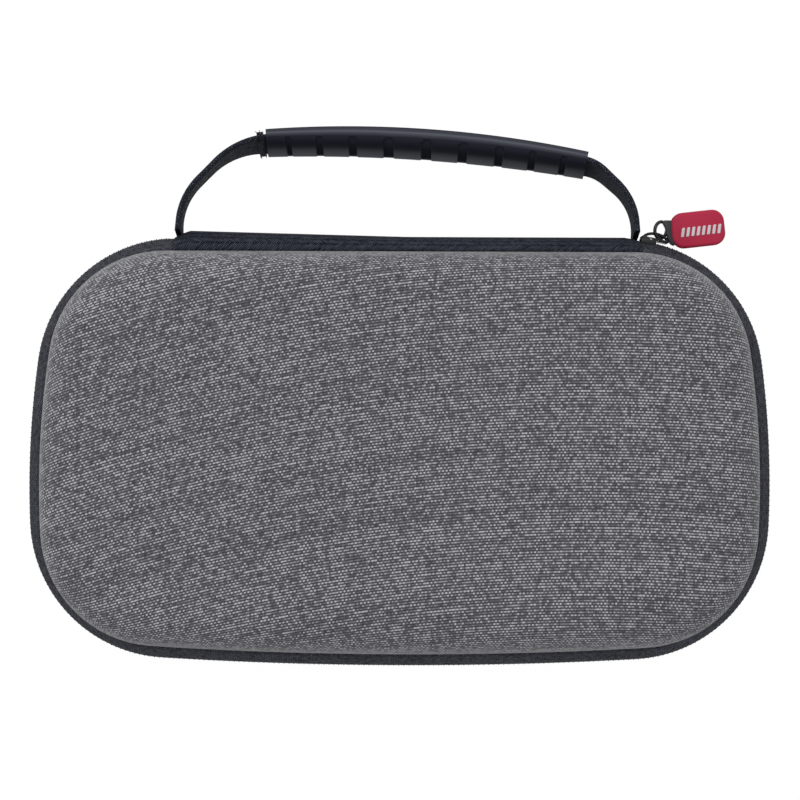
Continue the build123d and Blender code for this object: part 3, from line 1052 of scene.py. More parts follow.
@dataclass(frozen=True)
class ZipBand:
    """One half of the zip: flared tape, coil, stitches and the binding inside the rim."""

    half: Half
    line: RimLine = RimLine()
    shell_line: RimLine = RimLine(corner_trim=3.1)
    spine_left: float = -74.193
    spine_right: float = 78.793
    tape_section: tuple[tuple[float, float], ...] = (
        (0.5, 0.7),
        (0.36, 1.3),
        (0.45, 2.3),
        (0.95, 3.7),
        (1.75, 5.4),
        (2.75, 7.4),
        (3.85, 9.3),
        (4.7, 10.5),
        (5.4, 10.92),
        (8.8, 10.95),
        (8.8, 10.1),
        (5.9, 10.05),
        (5.2, 9.2),
        (3.75, 5.0),
        (3.2, 3.0),
        (3.0, 0.8),
    )
    binding_section: tuple[tuple[float, float], ...] = (
        (9.75, 17.0),
        (10.35, 16.9),
        (10.55, 16.5),
        (9.8, 11.2),
        (9.7, 9.7),
        (9.4, 9.25),
        (7.7, 9.2),
        (7.3, 9.5),
        (7.4, 9.95),
        (8.9, 10.0),
        (8.95, 11.1),
    )
    spacing: float = 4.0
    tape_gap: float = 0.3
    tooth_pitch: float = 1.65
    tooth_gap: float = 2.2
    tooth_centre: float = 0.5
    tooth_radii: tuple[float, float, float] = (0.66, 1.2, 0.72)
    stitch_pitch: float = 3.2
    stitch_gap: float = 2.0
    stitch_inset: float = 3.9
    stitch_height: float = 9.4
    stitch_radii: tuple[float, float, float] = (1.25, 0.24, 0.24)

    def path(self, gap: float, spacing: float) -> SweepPath:
        """Outline outside the spine, from a gap before its one end to a gap past its other."""
        return self.line.outside_spine(self.spine_left - gap, self.spine_right + gap, spacing)

    def section(self, points: tuple[tuple[float, float], ...]) -> list[Knot]:
        """Knots of a section given as insets and distances from the middle plane."""
        return strip_section([(-inset, self.half.height(above)) for inset, above in points])

    def bead(self, bm: BMesh, station: tuple, middle: tuple, radii: tuple, segments: int) -> None:
        """Add a rounded bead that lies along the rim.

        Args:
            bm: Mesh that gets the bead.
            station: Place and heading on the outline.
            middle: Distances of its middle in from the outline and from the middle plane.
            radii: Its half length, half width and half height.
            segments: Faces round it.
        """
        place, heading = station
        inset, above = middle
        centre = place - left_of(heading) * inset + Vector((0, 0, self.half.height(above)))
        shape = Matrix.LocRotScale(centre, Matrix.Rotation(heading, 3, "Z"), radii)
        bmesh.ops.create_uvsphere(bm, u_segments=segments, v_segments=5, radius=1.0, matrix=shape)

    def tape(self) -> None:
        """Make the tape from the spine's one end round to its other."""
        bm = new_bmesh()
        path = self.path(self.tape_gap, self.spacing)
        ends = path.sweep(bm, self.section(self.tape_section), ring=True)
        map_strip(bm)
        close_ends(bm, *ends)
        side = self.half.value
        make_piece(bm, f"{side}_woven_tape", side, ZIP_TAPE, (f"{side}_zip_tape",))

    def teeth(self) -> None:
        """Make the coil as a row of rounded turns, which lie between those of the other half."""
        bm = new_bmesh()
        stations = self.path(self.tooth_gap, self.tooth_pitch / 2).stations()
        middle = (self.tooth_radii[1], self.tooth_centre)
        for station in stations[0 if self.half is Half.LID else 1 :: 2]:
            self.bead(bm, station, middle, self.tooth_radii, 8)
        side = self.half.value
        make_piece(bm, f"{side}_coil_teeth", side, COIL_NYLON, (f"{side}_zip_coil",), 60.0)

    def stitches(self) -> None:
        """Make the sewing that holds the tape to the shell."""
        bm = new_bmesh()
        for station in self.path(self.stitch_gap, self.stitch_pitch).stations():
            self.bead(bm, station, (self.stitch_inset, self.stitch_height), self.stitch_radii, 6)
        side = self.half.value
        make_piece(bm, f"{side}_tape_stitches", side, SEWING_THREAD, (), 60.0)

    def binding(self) -> None:
        """Make the folded binding inside the rim."""
        bm = new_bmesh()
        self.shell_line.whole(self.spacing).sweep(bm, self.section(self.binding_section), ring=True)
        map_strip(bm)
        side = self.half.value
        make_piece(bm, f"{side}_bound_edge", side, BINDING, (f"{side}_binding",))

    def build(self) -> None:
        """Make and dress every piece of this half of the zip."""
        self.tape()
        self.teeth()
        self.stitches()
        self.binding()


@dataclass(frozen=True)
class Spine:
    """Cloth spine in two halves, each sewn to its own shell and bowed out between them."""

    left: float = -74.193
    length: float = 152.985
    crest: float = 71.0
    foot: float = 65.9
    bow_radius: float = 16.63
    pulled_out: float = 1.9
    end_taper: float = 4.0
    end_share: float = 0.78
    cloth: float = 1.1
    edge: float = 10.7
    bow_steps: int = 9
    seam: tuple[tuple[float, float], ...] = ((66.4, 10.9), (65.4, 10.92), (65.4, 10.2), (65.9, 9.9))
    spacing: float = 2.5

    def bow(self, above: float) -> float:
        """Distance to the rear of the cloth's outside at a height from the middle plane."""
        return self.crest - self.bow_radius + math.sqrt(self.bow_radius**2 - above**2)

    def section(self, half: Half) -> list[Knot]:
        """Section of one half, from the middle plane out to its seam and back inside.

        Args:
            half: The half of the case that it is sewn to.

        Returns:
            Knots of the closed section.
        """
        heights = [self.edge * step / self.bow_steps for step in range(self.bow_steps + 1)]
        points = [*((self.bow(above), above) for above in heights), *self.seam]
        points += [(self.bow(above) - self.cloth, above) for above in heights[-2::-1]]
        return strip_section([(out, half.height(above)) for out, above in points])

    def drape(self, bm: BMesh) -> None:
        """Pull the crest out towards the handle's left root and draw it in at both ends.

        Args:
            bm: One half of the spine.
        """
        rise = self.crest - self.foot
        for vert in bm.verts:
            from_left = vert.co.x - self.left
            from_end = min(from_left, self.length - from_left)
            drawn = min(1.0, self.end_share + (1 - self.end_share) * from_end / self.end_taper)
            pull = self.pulled_out * max(0.0, 1.0 - from_left / (self.length / 2)) * drawn**4
            share = (vert.co.y - self.foot) / rise
            if share > 0:
                vert.co.y += share * ((drawn - 1.0) * rise + pull)

    def build(self) -> None:
        """Make both halves, which fold with the base and with the lid at their seams."""
        run = Leg(self.length, 0.0, round(self.length / self.spacing))
        path = SweepPath((self.left, 0.0), 0.0, (run,))
        for half, bodies in ((Half.LID, ("spine", "lid")), (Half.BASE, ("spine", "base"))):
            bm = new_bmesh()
            ends = path.sweep(bm, self.section(half), ring=True)
            across = bm.verts.layers.float["across"]
            if half is Half.BASE:
                for vert in bm.verts:
                    vert[across] = -vert[across]
            map_strip(bm)
            self.drape(bm)
            close_ends(bm, *ends)
            name = f"{half.value}_side_of_spine"
            replaced = ("hinge_strip",) if half is Half.LID else ()
            piece = make_piece(bm, name, None, SPINE_TWILL, replaced)
            start = (0.0, 0.0656, half.height(9.4) * MM)
            end = (0.0, 0.0656, half.height(11.2) * MM)
            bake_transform(piece, *bodies, start=start, end=end)


@dataclass(frozen=True)
class Handle:
    """Webbing handle with its rubber grip, hung from the spine's crest."""

    root_left: float = -72.893
    root_right: float = 77.493
    line: float = 71.8
    droop_deg: float = 11.0
    sunk: float = 0.9
    left_run: float = 28.2
    right_run: float = 16.6
    left_knee: float = 11.4
    right_knee: float = 10.8
    left_shoulder: float = 10.6
    right_shoulder: float = 4.0
    knee_share: float = 0.78
    shoulder_share: float = 0.95
    grip_reach: float = 27.2
    grip_rise: float = 3.3
    grip_tilt_deg: float = -3.9
    width: float = 19.0
    thickness: float = 1.8
    rib_pitch: float = 1.15
    scallop: float = 0.3
    twist_deg: tuple[float, float] = (8.0, 4.5)
    cut_before_grip: float = 2.7
    cut_length: float = 2.2
    cut_swell: tuple[float, float] = (0.7, 0.5)
    yarn_count: int = 26
    yarn_radius: float = 0.13
    yarn_root: float = 0.4
    grip_leg: int = 5
    grip_ends: float = 0.8
    grip_spacing: float = 0.35
    grip_profile: tuple[tuple[float, float], ...] = (
        (2.95, 3.0),
        (2.95, 6.0),
        (2.95, 8.9),
        (2.85, 9.7),
        (2.5, 10.25),
        (2.1, 10.45),
        (1.75, 10.72),
        (1.4, 10.5),
        (0.7, 10.42),
        (0.0, 10.2),
        (-0.7, 9.85),
        (-1.35, 9.4),
        (-1.9, 8.9),
        (-2.45, 8.2),
        (-2.95, 7.3),
        (-3.35, 6.2),
        (-3.6, 4.9),
        (-3.75, 3.4),
        (-3.82, 1.7),
    )
    slot_places: tuple[float, ...] = (-45.8, -35.6, -24.5, -12.6, 0.0, 12.1, 24.2, 35.1, 45.5)
    slot_widths: tuple[float, ...] = (1.8, 2.3, 3.0, 3.6, 3.7, 3.4, 3.0, 2.5, 2.0)
    slot_depth: float = 0.7
    slot_start: float = -1.1
    slot_slope: float = 1.5
    slot_foot: float = -8.0
    slot_fade: float = 2.5
    slot_lean: float = 0.4
    # Slant, start and span of the height across the grip, as the camera sees it, over which the grip's
    # painted light and shade are laid.
    tone_tilt_deg: float = 5.5
    painted_light_start: float = 5.5
    painted_light_span: float = 10.8

    def side_plan(self, knee: Vector, shoulder: Vector, end_slope: float, end_run: float) -> list[tuple]:
        """Lengths and turns from a root over its knee and shoulder to the grip's end.

        Args:
            knee: The knee's point.
            shoulder: The shoulder's point.
            end_slope: Slope of the grip's end, positive where it rises away from the root.
            end_run: Length from the shoulder to the grip's end.

        Returns:
            Pairs of a length and a turn.
        """
        slant = shoulder - knee
        slope = math.atan2(slant.y, abs(slant.x))
        knee_turn = math.pi / 2 - slope
        shoulder_turn = slope - end_slope
        knee_cut = self.knee_share * min(knee.y, slant.length)
        shoulder_cut = self.shoulder_share * min(slant.length, end_run)
        return [
            (knee.y - knee_cut + self.sunk, 0.0),
            (knee_cut / math.tan(knee_turn / 2) * knee_turn, knee_turn),
            (slant.length - knee_cut - shoulder_cut, 0.0),
            (shoulder_cut / math.tan(shoulder_turn / 2) * shoulder_turn, shoulder_turn),
            (end_run - shoulder_cut, 0.0),
        ]

    def path(self, spacing: float) -> SweepPath:
        """Strap line in the handle's own plane.

        Args:
            spacing: Length of a step in millimetres.

        Returns:
            The path from root to root.
        """
        tilt = math.radians(self.grip_tilt_deg)
        start, stop = self.root_left + self.left_run, self.root_right - self.right_run
        half_grip = (stop - start) / 2 / math.cos(tilt)
        bow = 2 * math.atan(self.grip_rise / half_grip)
        drop = half_grip * math.sin(tilt)
        left_slope, right_slope = tilt + bow, bow - tilt
        left_back = Vector((math.cos(left_slope), math.sin(left_slope))) * self.left_shoulder
        right_on = Vector((math.cos(right_slope), -math.sin(right_slope))) * self.right_shoulder
        left_shoulder = Vector((start, self.grip_reach - drop)) - left_back
        right_shoulder = Vector((stop, self.grip_reach + drop)) + right_on
        left_knee = Vector((self.root_left, self.left_knee))
        right_knee = Vector((self.root_right, self.right_knee))
        left = self.side_plan(left_knee, left_shoulder, left_slope, self.left_shoulder)
        right = self.side_plan(right_knee, right_shoulder, right_slope, self.right_shoulder)
        grip = (2 * bow * half_grip / math.sin(bow), 2 * bow)
        plan = [*left, grip, *right[::-1]]
        legs = tuple(Leg(length, turn, max(1, round(length / spacing))) for length, turn in plan)
        return SweepPath((self.root_left, -self.sunk), math.pi / 2, legs)

    def grip_start(self, path: SweepPath) -> float:
        """Length along the strap at which the grip starts."""
        return sum(leg.length for leg in path.legs[: self.grip_leg])

    def hang(self, bm: BMesh) -> None:
        """Turn a mesh from the handle's own plane to its droop on the spine.

        Args:
            bm: The mesh.
        """
        droop = Matrix.Rotation(math.radians(-self.droop_deg), 4, "X")
        hung = Matrix.Translation((0, self.line, MID_PLANE)) @ droop
        bmesh.ops.transform(bm, matrix=hung, verts=bm.verts)

    def band(self, half_thickness: float, half_width: float) -> list[Knot]:
        """Section of a flat band with round edges.

        Args:
            half_thickness: Half its thickness.
            half_width: Half its width.

        Returns:
            Knots of the closed section.
        """
        shares = [(1.0, share) for share in (-0.9, -0.6, -0.3, 0.0, 0.3, 0.6, 0.9)]
        shares += [(0.62, 0.98), (0.0, 1.0), (-0.62, 0.98)]
        points = [(half_thickness * out, half_width * up) for out, up in shares]
        points += [(-offset, -height) for offset, height in points]
        return strip_section(points)

    def strap(self) -> None:
        """Make the webbing, whose edges show the loops of its weft."""
        bm = new_bmesh()
        path = self.path(self.rib_pitch / 4)
        ends = path.sweep(bm, self.band(self.thickness / 2, self.width / 2), ring=True)
        map_strip(bm)
        along = bm.verts.layers.float["along"]
        facing = bm.verts.layers.float["facing"]
        left_end = self.grip_start(path)
        right_start = left_end + path.legs[self.grip_leg].length
        right_length = sum(leg.length for leg in path.legs[self.grip_leg + 1 :])
        for vert in bm.verts:
            edge = max(0.0, abs(vert.co.z) / (self.width / 2) - 0.85) / 0.15
            wave = math.cos(2 * math.pi * vert[along] / self.rib_pitch)
            from_left = min(1.0, vert[along] / left_end)
            from_right = min(1.0, max(0.0, vert[along] - right_start) / right_length)
            twist = self.twist_deg[0] * math.sin(math.pi * from_left)
            twist += self.twist_deg[1] * math.sin(math.pi * from_right)
            lean = vert.co.z * math.sin(math.radians(twist))
            vert.co.x += math.sin(vert[facing]) * lean
            vert.co.y -= math.cos(vert[facing]) * lean
            vert.co.z += math.copysign(self.scallop * edge * wave, vert.co.z)
        close_ends(bm, *ends)
        self.hang(bm)
        strap = make_piece(bm, "webbing_strap", None, WEBBING, ("handle_strap",), 60.0)
        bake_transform(strap, "spine", "handle", start=(0, 0.0706, 0.028), end=(0, 0.0756, 0.028))

    def cut_end(self) -> None:
        """Make the webbing's cut end beside the grip, with the yarns that stand out of it."""
        bm = new_bmesh()
        path = self.path(0.1)
        travelled = accumulate(leg.length / leg.steps for leg in path.legs for _ in range(leg.steps))
        cut = self.grip_start(path) - self.cut_before_grip
        before = sum(1 for length in travelled if length < cut)
        place, heading = path.stations()[before]
        band = SweepPath((place.x, place.y), heading, (Leg(self.cut_length, 0.0, 6),))
        section = self.band(self.thickness / 2 + self.cut_swell[0], self.width / 2 + self.cut_swell[1])
        ends = band.sweep(bm, section, ring=True)
        map_strip(bm)
        close_ends(bm, *ends)
        ahead, left = ahead_of(heading), left_of(heading)
        chance = random.Random(7)
        for number in range(self.yarn_count):
            edge = 1 if number % 2 else -1
            foot = place + ahead * chance.uniform(0.1, 2.1) + left * chance.uniform(-1.6, 1.6)
            foot.z = edge * (self.width / 2 + self.yarn_root)
            lean = Matrix.Rotation(chance.uniform(-0.9, 0.9), 4, ahead)
            lean = lean @ Matrix.Rotation(chance.uniform(-0.5, 0.5), 4, left)
            size = (self.yarn_radius, self.yarn_radius, edge * chance.uniform(0.7, 1.9), 1.0)
            shape = Matrix.Translation(foot) @ lean @ Matrix.Diagonal(size)
            bmesh.ops.create_cone(
                bm, cap_ends=True, segments=5, radius1=1.0, radius2=0.5, depth=2.0, matrix=shape
            )
        self.hang(bm)
        make_piece(bm, "webbing_cut_end", "handle", WEBBING, (), 50.0)

    def grip_section(self) -> list[Knot]:
        """Section of the grip: flat outside, a raised mould line near it and a full round finger side.

        Returns:
            Knots of the closed section, with the offset kept as their slack.
        """
        lower = [(offset, -height) for offset, height in self.grip_profile[::-1]]
        return [Knot(offset, height, 0.0, offset) for offset, height in [*self.grip_profile, *lower]]

    def slot_share(self, along: float, offset: float) -> float:
        """How far a point of the grip lies inside a finger slot.

        Args:
            along: Length from the grip's middle.
            offset: Distance outwards from the grip's centre line.

        Returns:
            One inside a slot and nought outside it.
        """
        depth = self.slot_slope * (self.slot_start - offset)
        for place, width in zip(self.slot_places, self.slot_widths):
            inside = min(1.0, max(0.0, depth) / (width / 2))
            half = width / 2 * math.sqrt(1.0 - (1.0 - inside) ** 2)
            if abs(along - place) < half:
                return 1.0
        return 0.0

    def grip(self) -> None:
        """Make the rubber grip, slimmer at its ends, with its row of finger slots, and mark each vertex for
        its painted light and shade.
        """
        bm = new_bmesh()
        path = self.path(self.grip_spacing)
        before = sum(leg.steps for leg in path.legs[: self.grip_leg])
        place, heading = path.stations()[before]
        leg = path.legs[self.grip_leg]
        ends = SweepPath((place.x, place.y), heading, (leg,)).sweep(bm, self.grip_section(), ring=True)
        along, facing, slack = (bm.verts.layers.float[mark] for mark in ("along", "facing", "slack"))
        slant = math.radians(self.droop_deg + self.tone_tilt_deg)
        for vert in bm.verts:
            from_middle = vert[along] - leg.length / 2
            offset, height = vert[slack], vert.co.z
            slim = self.grip_ends + (1 - self.grip_ends) * (1 - (2 * from_middle / leg.length) ** 2)
            above_foot = min(1.0, max(0.0, (height - self.slot_foot) / self.slot_fade))
            slot = self.slot_share(from_middle, offset) * above_foot
            inward = Vector((-offset, -self.slot_lean * height)).normalized() * self.slot_depth * slot
            moved = offset * (slim - 1.0) + inward.x
            vert.co.x -= math.sin(vert[facing]) * moved
            vert.co.y += math.cos(vert[facing]) * moved
            vert.co.z += inward.y
            # Mark each vertex with how far down the grip it lies as the camera sees it, for the painted light
            # and shade, and with its slot share, for the painted shade in the slots.
            seen = offset * math.cos(slant) + height * math.sin(slant)
            vert[facing] = min(1.0, max(0.0, (self.painted_light_start - seen) / self.painted_light_span))
            vert[slack] = slot
        close_ends(bm, *ends)
        self.hang(bm)
        make_piece(bm, "rubber_grip", "handle", GRIP_RUBBER, ("handle_grip",), 40.0)

    def build(self) -> None:
        """Make the strap, its cut end and the grip."""
        self.strap()
        self.cut_end()
        self.grip()


@dataclass(frozen=True)
class Slider:
    """Zip slider: two plates joined by a web, lips round the coil and a low arched crown."""

    seat: tuple[float, float, float] = (83.5925, 69.4548, 28.0)
    angle_deg: float = 12.237
    tail: float = 4.5
    half_width: float = 4.2
    nose: float = 3.3
    plate: float = 0.8
    top_gap: float = 0.45
    back_face: float = -4.0
    back_share: float = 0.82
    web_length: float = 2.4
    web_half: float = 0.45
    web_height: float = 4.8
    web_sunk: float = 0.2
    lip: float = 0.8
    lip_depth: float = 1.9
    lip_reach: float = 0.6
    lip_taper: float = 0.15
    lip_sunk: float = 0.3
    edge: float = 0.25
    crown_middle: float = 0.4
    crown_half: float = 4.0
    crown_rise: float = 2.1
    crown_bar: float = 0.5

    def place(self) -> Matrix:
        """Matrix from along, across and outwards to the slider's place on the zip."""
        turn = Matrix.Rotation(math.radians(-self.angle_deg), 4, "Z")
        return Matrix.Translation(self.seat) @ turn @ Matrix.Rotation(-math.pi / 2, 4, "X")

    def slab(self, bm: BMesh, corners: list[tuple[float, float]], bottom: float, height: float) -> None:
        """Add a slab with softened edges, its outline given along and across the zip."""
        block = add_prism(bm, corners, bottom, height)
        soften(bm, {e for v in block for e in v.link_edges}, self.edge, 2)

    def crown(self, bm: BMesh) -> None:
        """Add the round bar arched over the outer plate: half a ring that is then drawn out.

        Args:
            bm: Mesh that is still empty.
        """
        stand = Matrix.Translation((1.0, 0, 0))
        bar = bmesh.ops.create_circle(bm, segments=12, radius=self.crown_bar, matrix=stand)["verts"]
        start = list({e for v in bar for e in v.link_edges})
        arch = {"cent": (0, 0, 0), "axis": (0, -1, 0), "angle": math.pi, "steps": 24, "use_merge": False}
        made = bmesh.ops.spin(bm, geom=start, dvec=(0, 0, 0), **arch)["geom_last"]
        close_ends(bm, start, [e for e in made if isinstance(e, BMEdge)])
        for vert in bm.verts:
            reach = Vector((vert.co.x, vert.co.z))
            out = reach.normalized()
            vert.co.x = self.crown_middle + out.x * (self.crown_half + reach.length - 1.0)
            vert.co.z = self.top_gap + self.plate / 2 + out.y * (self.crown_rise + reach.length - 1.0)

    def build(self) -> None:
        """Make the slider."""
        bm = new_bmesh()
        self.crown(bm)
        half, nose, tail = self.half_width, self.nose, self.tail
        shield = [(-tail, half), (-tail, -half), (0.0, -half), (tail, -nose), (tail, nose), (0.0, half)]
        self.slab(bm, shield, self.top_gap, self.plate)
        inner = [(self.back_share * x, self.back_share * y) for x, y in shield]
        self.slab(bm, inner, self.back_face - self.plate, self.plate)
        middle = self.web_length / 2 - tail
        web = [(-tail, 0.0), (middle, -self.web_half), (self.web_length - tail, 0.0), (middle, self.web_half)]
        self.slab(bm, web, self.back_face - self.web_sunk, self.web_height)
        lip = [(-tail, half), (0.0, half), (self.lip_reach, half - self.lip_taper)]
        lip += [(self.lip_reach, half - self.lip), (-tail, half - self.lip)]
        for side in (1, -1):
            corners = [(x, side * y) for x, y in lip]
            self.slab(bm, corners, self.top_gap - self.lip_depth, self.lip_depth + self.lip_sunk)
        bmesh.ops.transform(bm, matrix=self.place(), verts=bm.verts)
        make_piece(bm, "enamelled_slider", "slider", SLIDER_ENAMEL, ("zip_slider",), 40.0)


@dataclass(frozen=True)
class Pull:
    """Soft tag of the zip pull with its raised ribs and its link."""

    origin: tuple[float, float, float] = (87.1706, 71.7986, 28.0)
    heading_deg: float = 6.5
    tag_middle: tuple[float, float] = (11.1, 0.9)
    length: float = 17.8
    width: float = 11.8
    thickness: float = 3.0
    corner: float = 4.0
    edge: float = 1.1
    rib_count: int = 8
    rib_pitch: float = 1.72
    rib_size: tuple[float, float, float] = (1.05, 3.1, 0.9)
    rib_shift: tuple[float, float] = (0.9, -0.7)
    rib_slant_deg: float = 14.0
    rib_sunk: float = 0.1
    rib_corner: float = 0.35
    rib_edge: float = 0.25
    loop_wire: float = 0.58
    loop_half: tuple[float, float] = (2.5, 2.75)
    loop_middle: tuple[float, float] = (-1.06, 1.9)
    loop_turn_deg: float = -16.0
    loop_lean_deg: float = 35.0
    shoulder_half: float = 1.1
    shoulder_edge: float = 0.35
    shoulder: tuple[tuple[float, float], ...] = (
        (-0.6, 4.75),
        (0.6, 4.95),
        (3.4, 4.6),
        (3.4, -3.3),
        (2.5, -3.75),
        (1.5, -3.1),
        (0.75, -1.3),
        (0.55, 0.6),
        (0.35, 2.4),
        (-0.2, 3.9),
    )

    def place(self) -> Matrix:
        """Matrix from the pull's pivot to its place on the case."""
        turn = Matrix.Rotation(math.radians(self.heading_deg), 4, "Z")
        return Matrix.Translation(self.origin) @ turn

    def tag_place(self) -> Matrix:
        """Matrix from the tag's own middle to its place on the case."""
        return self.place() @ Matrix.Translation((*self.tag_middle, 0))

    def rounded_block(self, bm: BMesh, matrix: Matrix, size: tuple, corner: float, edge: float) -> None:
        """Add a block with round corners and softened edges.

        Args:
            bm: Mesh that gets the block.
            matrix: Place of its middle.
            size: Its length, width and thickness.
            corner: Radius of its upright corners.
            edge: Radius of its other edges.
        """
        verts = bmesh.ops.create_cube(bm, size=1.0, matrix=Matrix.Diagonal((*size, 1.0)))["verts"]
        block = soften(bm, {e for v in verts for e in v.link_edges if not is_level(e)}, corner, 7)
        level = {e for v in block for e in v.link_edges if is_level(e)}
        whole = soften(bm, {e for e in level if e.calc_face_angle(0) > 1}, edge, 4)
        bmesh.ops.transform(bm, matrix=matrix, verts=whole)

    def tag(self) -> None:
        """Make the red tag."""
        bm = new_bmesh()
        size = (self.length, self.width, self.thickness)
        self.rounded_block(bm, self.tag_place(), size, self.corner, self.edge)
        make_piece(bm, "soft_tag", "pull", TAG_RUBBER, ("pull_tag",), 60.0)

    def ribs(self) -> None:
        """Make the row of raised ribs on both faces of the tag."""
        bm = new_bmesh()
        slant = Matrix.Identity(4)
        slant[0][1] = math.tan(math.radians(self.rib_slant_deg))
        for face in (1, -1):
            for number in range(self.rib_count):
                along = (number - (self.rib_count - 1) / 2) * self.rib_pitch
                above = face * (self.thickness / 2 - self.rib_sunk)
                shift = (self.rib_shift[0] + along, self.rib_shift[1], above)
                place = self.tag_place() @ Matrix.Translation(shift) @ slant
                self.rounded_block(bm, place, self.rib_size, self.rib_corner, self.rib_edge)
        make_piece(bm, "tag_ribs", "pull", TAG_RIBS, (), 60.0)

    def link(self) -> None:
        """Make the soft link: an oval loop that runs into the shoulder moulded on the tag."""
        bm = new_bmesh()
        stand = Matrix.Translation((1.0, 0, 0)) @ Matrix.Rotation(math.pi / 2, 4, "X")
        wire = bmesh.ops.create_circle(bm, segments=12, radius=self.loop_wire, matrix=stand)["verts"]
        edges = list({e for v in wire for e in v.link_edges})
        ring = {"cent": (0, 0, 0), "axis": (0, 0, 1), "angle": 2 * math.pi, "steps": 40, "use_merge": True}
        bmesh.ops.spin(bm, geom=edges, dvec=(0, 0, 0), **ring)
        for vert in bm.verts:
            reach = Vector((vert.co.x, vert.co.y))
            out = reach.normalized()
            thick = reach.length - 1.0
            vert.co.x = out.x * (self.loop_half[0] + thick)
            vert.co.y = out.y * (self.loop_half[1] + thick)
        turn = Matrix.Rotation(math.radians(self.loop_turn_deg), 4, "Z")
        lean = turn @ Matrix.Rotation(math.radians(self.loop_lean_deg), 4, "Y")
        loop = Matrix.Translation((*self.loop_middle, 0.0)) @ lean
        bmesh.ops.transform(bm, matrix=self.place() @ loop, verts=bm.verts)
        block = add_prism(bm, self.shoulder, -self.shoulder_half, 2 * self.shoulder_half)
        rims = {e for v in block for e in v.link_edges if is_level(e)}
        whole = soften(bm, rims, self.shoulder_edge, 3)
        bmesh.ops.transform(bm, matrix=self.place(), verts=whole)
        make_piece(bm, "soft_link", "pull", LINK_RUBBER, ("pull_link",), 50.0)

    def build(self) -> None:
        """Make the tag, its ribs and its link."""
        self.tag()
        self.ribs()
        self.link()


@dataclass(frozen=True)
class LidPocket:
    """Net pocket inside the lid with its elastic edge."""

    line: RimLine = RimLine(corner_trim=3.1)
    inset: float = 10.6
    height: float = 43.0
    front: float = -34.0
    rear: float = 80.0
    hem: float = 1.0
    trim_spacing: float = 6.0
    net_size: float = 300.0
    cell: float = 5.2
    strand: float = 1.0
    elastic_half: float = 109.9
    elastic_width: float = 8.0
    elastic_thickness: float = 2.0
    elastic_steps: int = 360
    ripple: float = 0.12
    ripple_pitch: float = 2.45

    def trim(self, bm: BMesh) -> None:
        """Cut a flat mesh to the pocket's outline, with a hem under the elastic at its front.

        Args:
            bm: Flat mesh that covers the pocket.
        """
        planes = [((0, self.front - self.hem, 0), (0, -1, 0)), ((0, self.rear, 0), (0, 1, 0))]
        for place, heading in self.line.whole(self.trim_spacing).stations():
            out = left_of(heading)
            planes.append((place - out * self.inset, out))
        for point, normal in planes:
            cut = {"geom": bm.verts[:] + bm.edges[:] + bm.faces[:], "plane_co": point, "plane_no": normal}
            bmesh.ops.bisect_plane(bm, dist=1e-5, clear_outer=True, **cut)

    def net(self) -> None:
        """Make the net of crossing strands."""
        bm = new_bmesh()
        count = round(self.net_size / self.cell)
        turn = Matrix.Translation((0, 0, self.height)) @ Matrix.Rotation(math.radians(45), 4, "Z")
        bmesh.ops.create_grid(bm, x_segments=count, y_segments=count, size=self.net_size / 2, matrix=turn)
        self.trim(bm)
        strands = {"use_replace": True, "use_boundary": True, "use_even_offset": True}
        bmesh.ops.wireframe(bm, faces=bm.faces[:], thickness=self.strand, **strands)
        net = make_piece(bm, "lid_pocket_net", "lid", NET_YARN, ("mesh_pocket",), 30.0)

    def elastic(self) -> None:
        """Make the ribbed elastic along the pocket's open edge."""
        bm = new_bmesh()
        half = self.elastic_width / 2
        thick = self.elastic_thickness / 2
        run = Leg(2 * self.elastic_half, 0.0, self.elastic_steps)
        path = SweepPath((-self.elastic_half, self.front - half), 0.0, (run,))
        points = []
        for side in (1, -1):
            face = self.height + side * thick
            points += [(side * half * share, face) for share in (-0.85, -0.4, 0.0, 0.4, 0.85)]
            points.append((side * half, self.height))
        ends = path.sweep(bm, strip_section(points), ring=True)
        map_strip(bm)
        along = bm.verts.layers.float["along"]
        for vert in bm.verts:
            vert.co.z += self.ripple * math.cos(2 * math.pi * vert[along] / self.ripple_pitch)
        close_ends(bm, *ends)
        make_piece(bm, "lid_pocket_band", "lid", ELASTIC, ("pocket_elastic",), 50.0)

    def build(self) -> None:
        """Make and dress the pocket."""
        self.net()
        self.elastic()


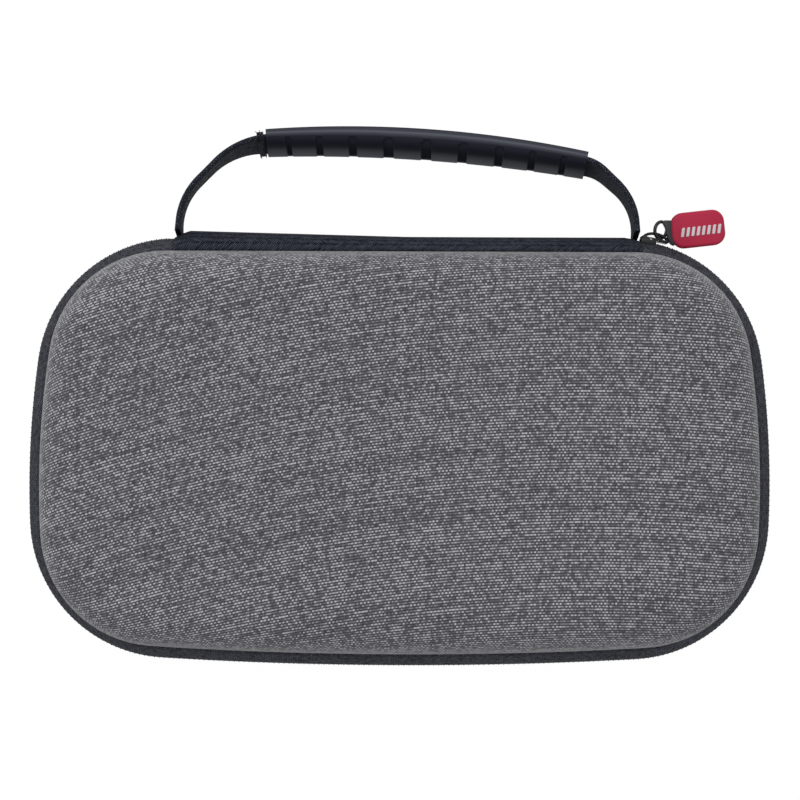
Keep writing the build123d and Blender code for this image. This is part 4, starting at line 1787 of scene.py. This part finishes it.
@dataclass(frozen=True)
class Studio:
    """Pale floor, soft light and the camera straight above the case."""

    camera_place: tuple[float, float, float] = (0.00006, 0.0172, 0.878)
    camera_roll_deg: float = 0.21
    lens: float = 115.9
    sensor: float = 36.0
    world_light: float = 0.55
    key_watts: float = 11.0
    key_place: tuple[float, float, float] = (-0.35, 0.75, 1.25)
    key_size: float = 1.1
    floor_half: float = 3.0
    floor_height: float = -0.0002
    floor_grey: float = 0.86
    floor_white: float = 1.03
    floor_share: float = 0.95

    def floor(self) -> None:
        """Make the floor, white to the camera but for the case's soft shadow."""
        bm = new_bmesh()
        level = Matrix.Translation((0, 0, self.floor_height))
        bmesh.ops.create_grid(bm, x_segments=1, y_segments=1, size=self.floor_half, matrix=level)
        mesh = bpy.data.meshes.new("floor")
        bm.to_mesh(mesh)
        bm.free()
        floor = bpy.data.objects.new("floor", mesh)
        bpy.context.scene.collection.objects.link(floor)
        material = bpy.data.materials.new("pale_floor")
        material.use_nodes = True
        n = Nodes(material.node_tree)
        shader = n.tree.nodes["Principled BSDF"]
        grey = (self.floor_grey, self.floor_grey, self.floor_grey, 1.0)
        n.feed(shader, {"Base Color": grey, "Roughness": 0.9, "Specular IOR Level": 0.1})
        white = n.put("ShaderNodeEmission", {"Color": (1, 1, 1, 1), "Strength": self.floor_white})
        share = n.times(n.seen(), self.floor_share)
        mixed = n.put("ShaderNodeMixShader", {0: share, 1: shader.outputs[0], 2: white.outputs[0]})
        n.feed(n.tree.nodes["Material Output"], {"Surface": mixed.outputs[0]})
        mesh.materials.append(material)

    def world(self) -> None:
        """Light the scene evenly and show white behind it."""
        world = bpy.data.worlds.new("studio")
        world.use_nodes = True
        bpy.context.scene.world = world
        n = Nodes(world.node_tree)
        strength = n.between(self.world_light, 1.0, n.seen())
        n.feed(n.tree.nodes["Background"], {"Strength": strength, "Color": (1.0, 1.0, 1.0, 1.0)})

    def key(self) -> None:
        """Hang one large soft lamp above the rear left."""
        lamp = bpy.data.lights.new("soft_key", "AREA")
        lamp.energy = self.key_watts
        lamp.size = self.key_size
        holder = bpy.data.objects.new("soft_key", lamp)
        holder.location = self.key_place
        aim = -Vector(self.key_place)
        holder.rotation_euler = aim.to_track_quat("-Z", "Y").to_euler()
        bpy.context.scene.collection.objects.link(holder)

    def camera(self) -> None:
        """Place the camera."""
        camera = bpy.data.cameras.new("camera")
        camera.lens = self.lens
        camera.sensor_width = self.sensor
        holder = bpy.data.objects.new("camera", camera)
        holder.location = self.camera_place
        holder.rotation_euler = (0.0, 0.0, math.radians(self.camera_roll_deg))
        bpy.context.scene.collection.objects.link(holder)
        bpy.context.scene.camera = holder

    def build(self) -> None:
        """Set up camera, floor and light."""
        bpy.context.scene.view_settings.view_transform = "Standard"
        self.camera()
        self.floor()
        self.world()
        self.key()


def main() -> None:
    """Build the case and its studio in order."""
    logging.basicConfig(level=logging.INFO, format="%(name)s %(message)s")
    Studio().build()
    for half in Half:
        MouldedHalf(half).build()
        ZipBand(half).build()
    Spine().build()
    Handle().build()
    Slider().build()
    Pull().build()
    LidPocket().build()


if __name__ == "__main__":
    main()
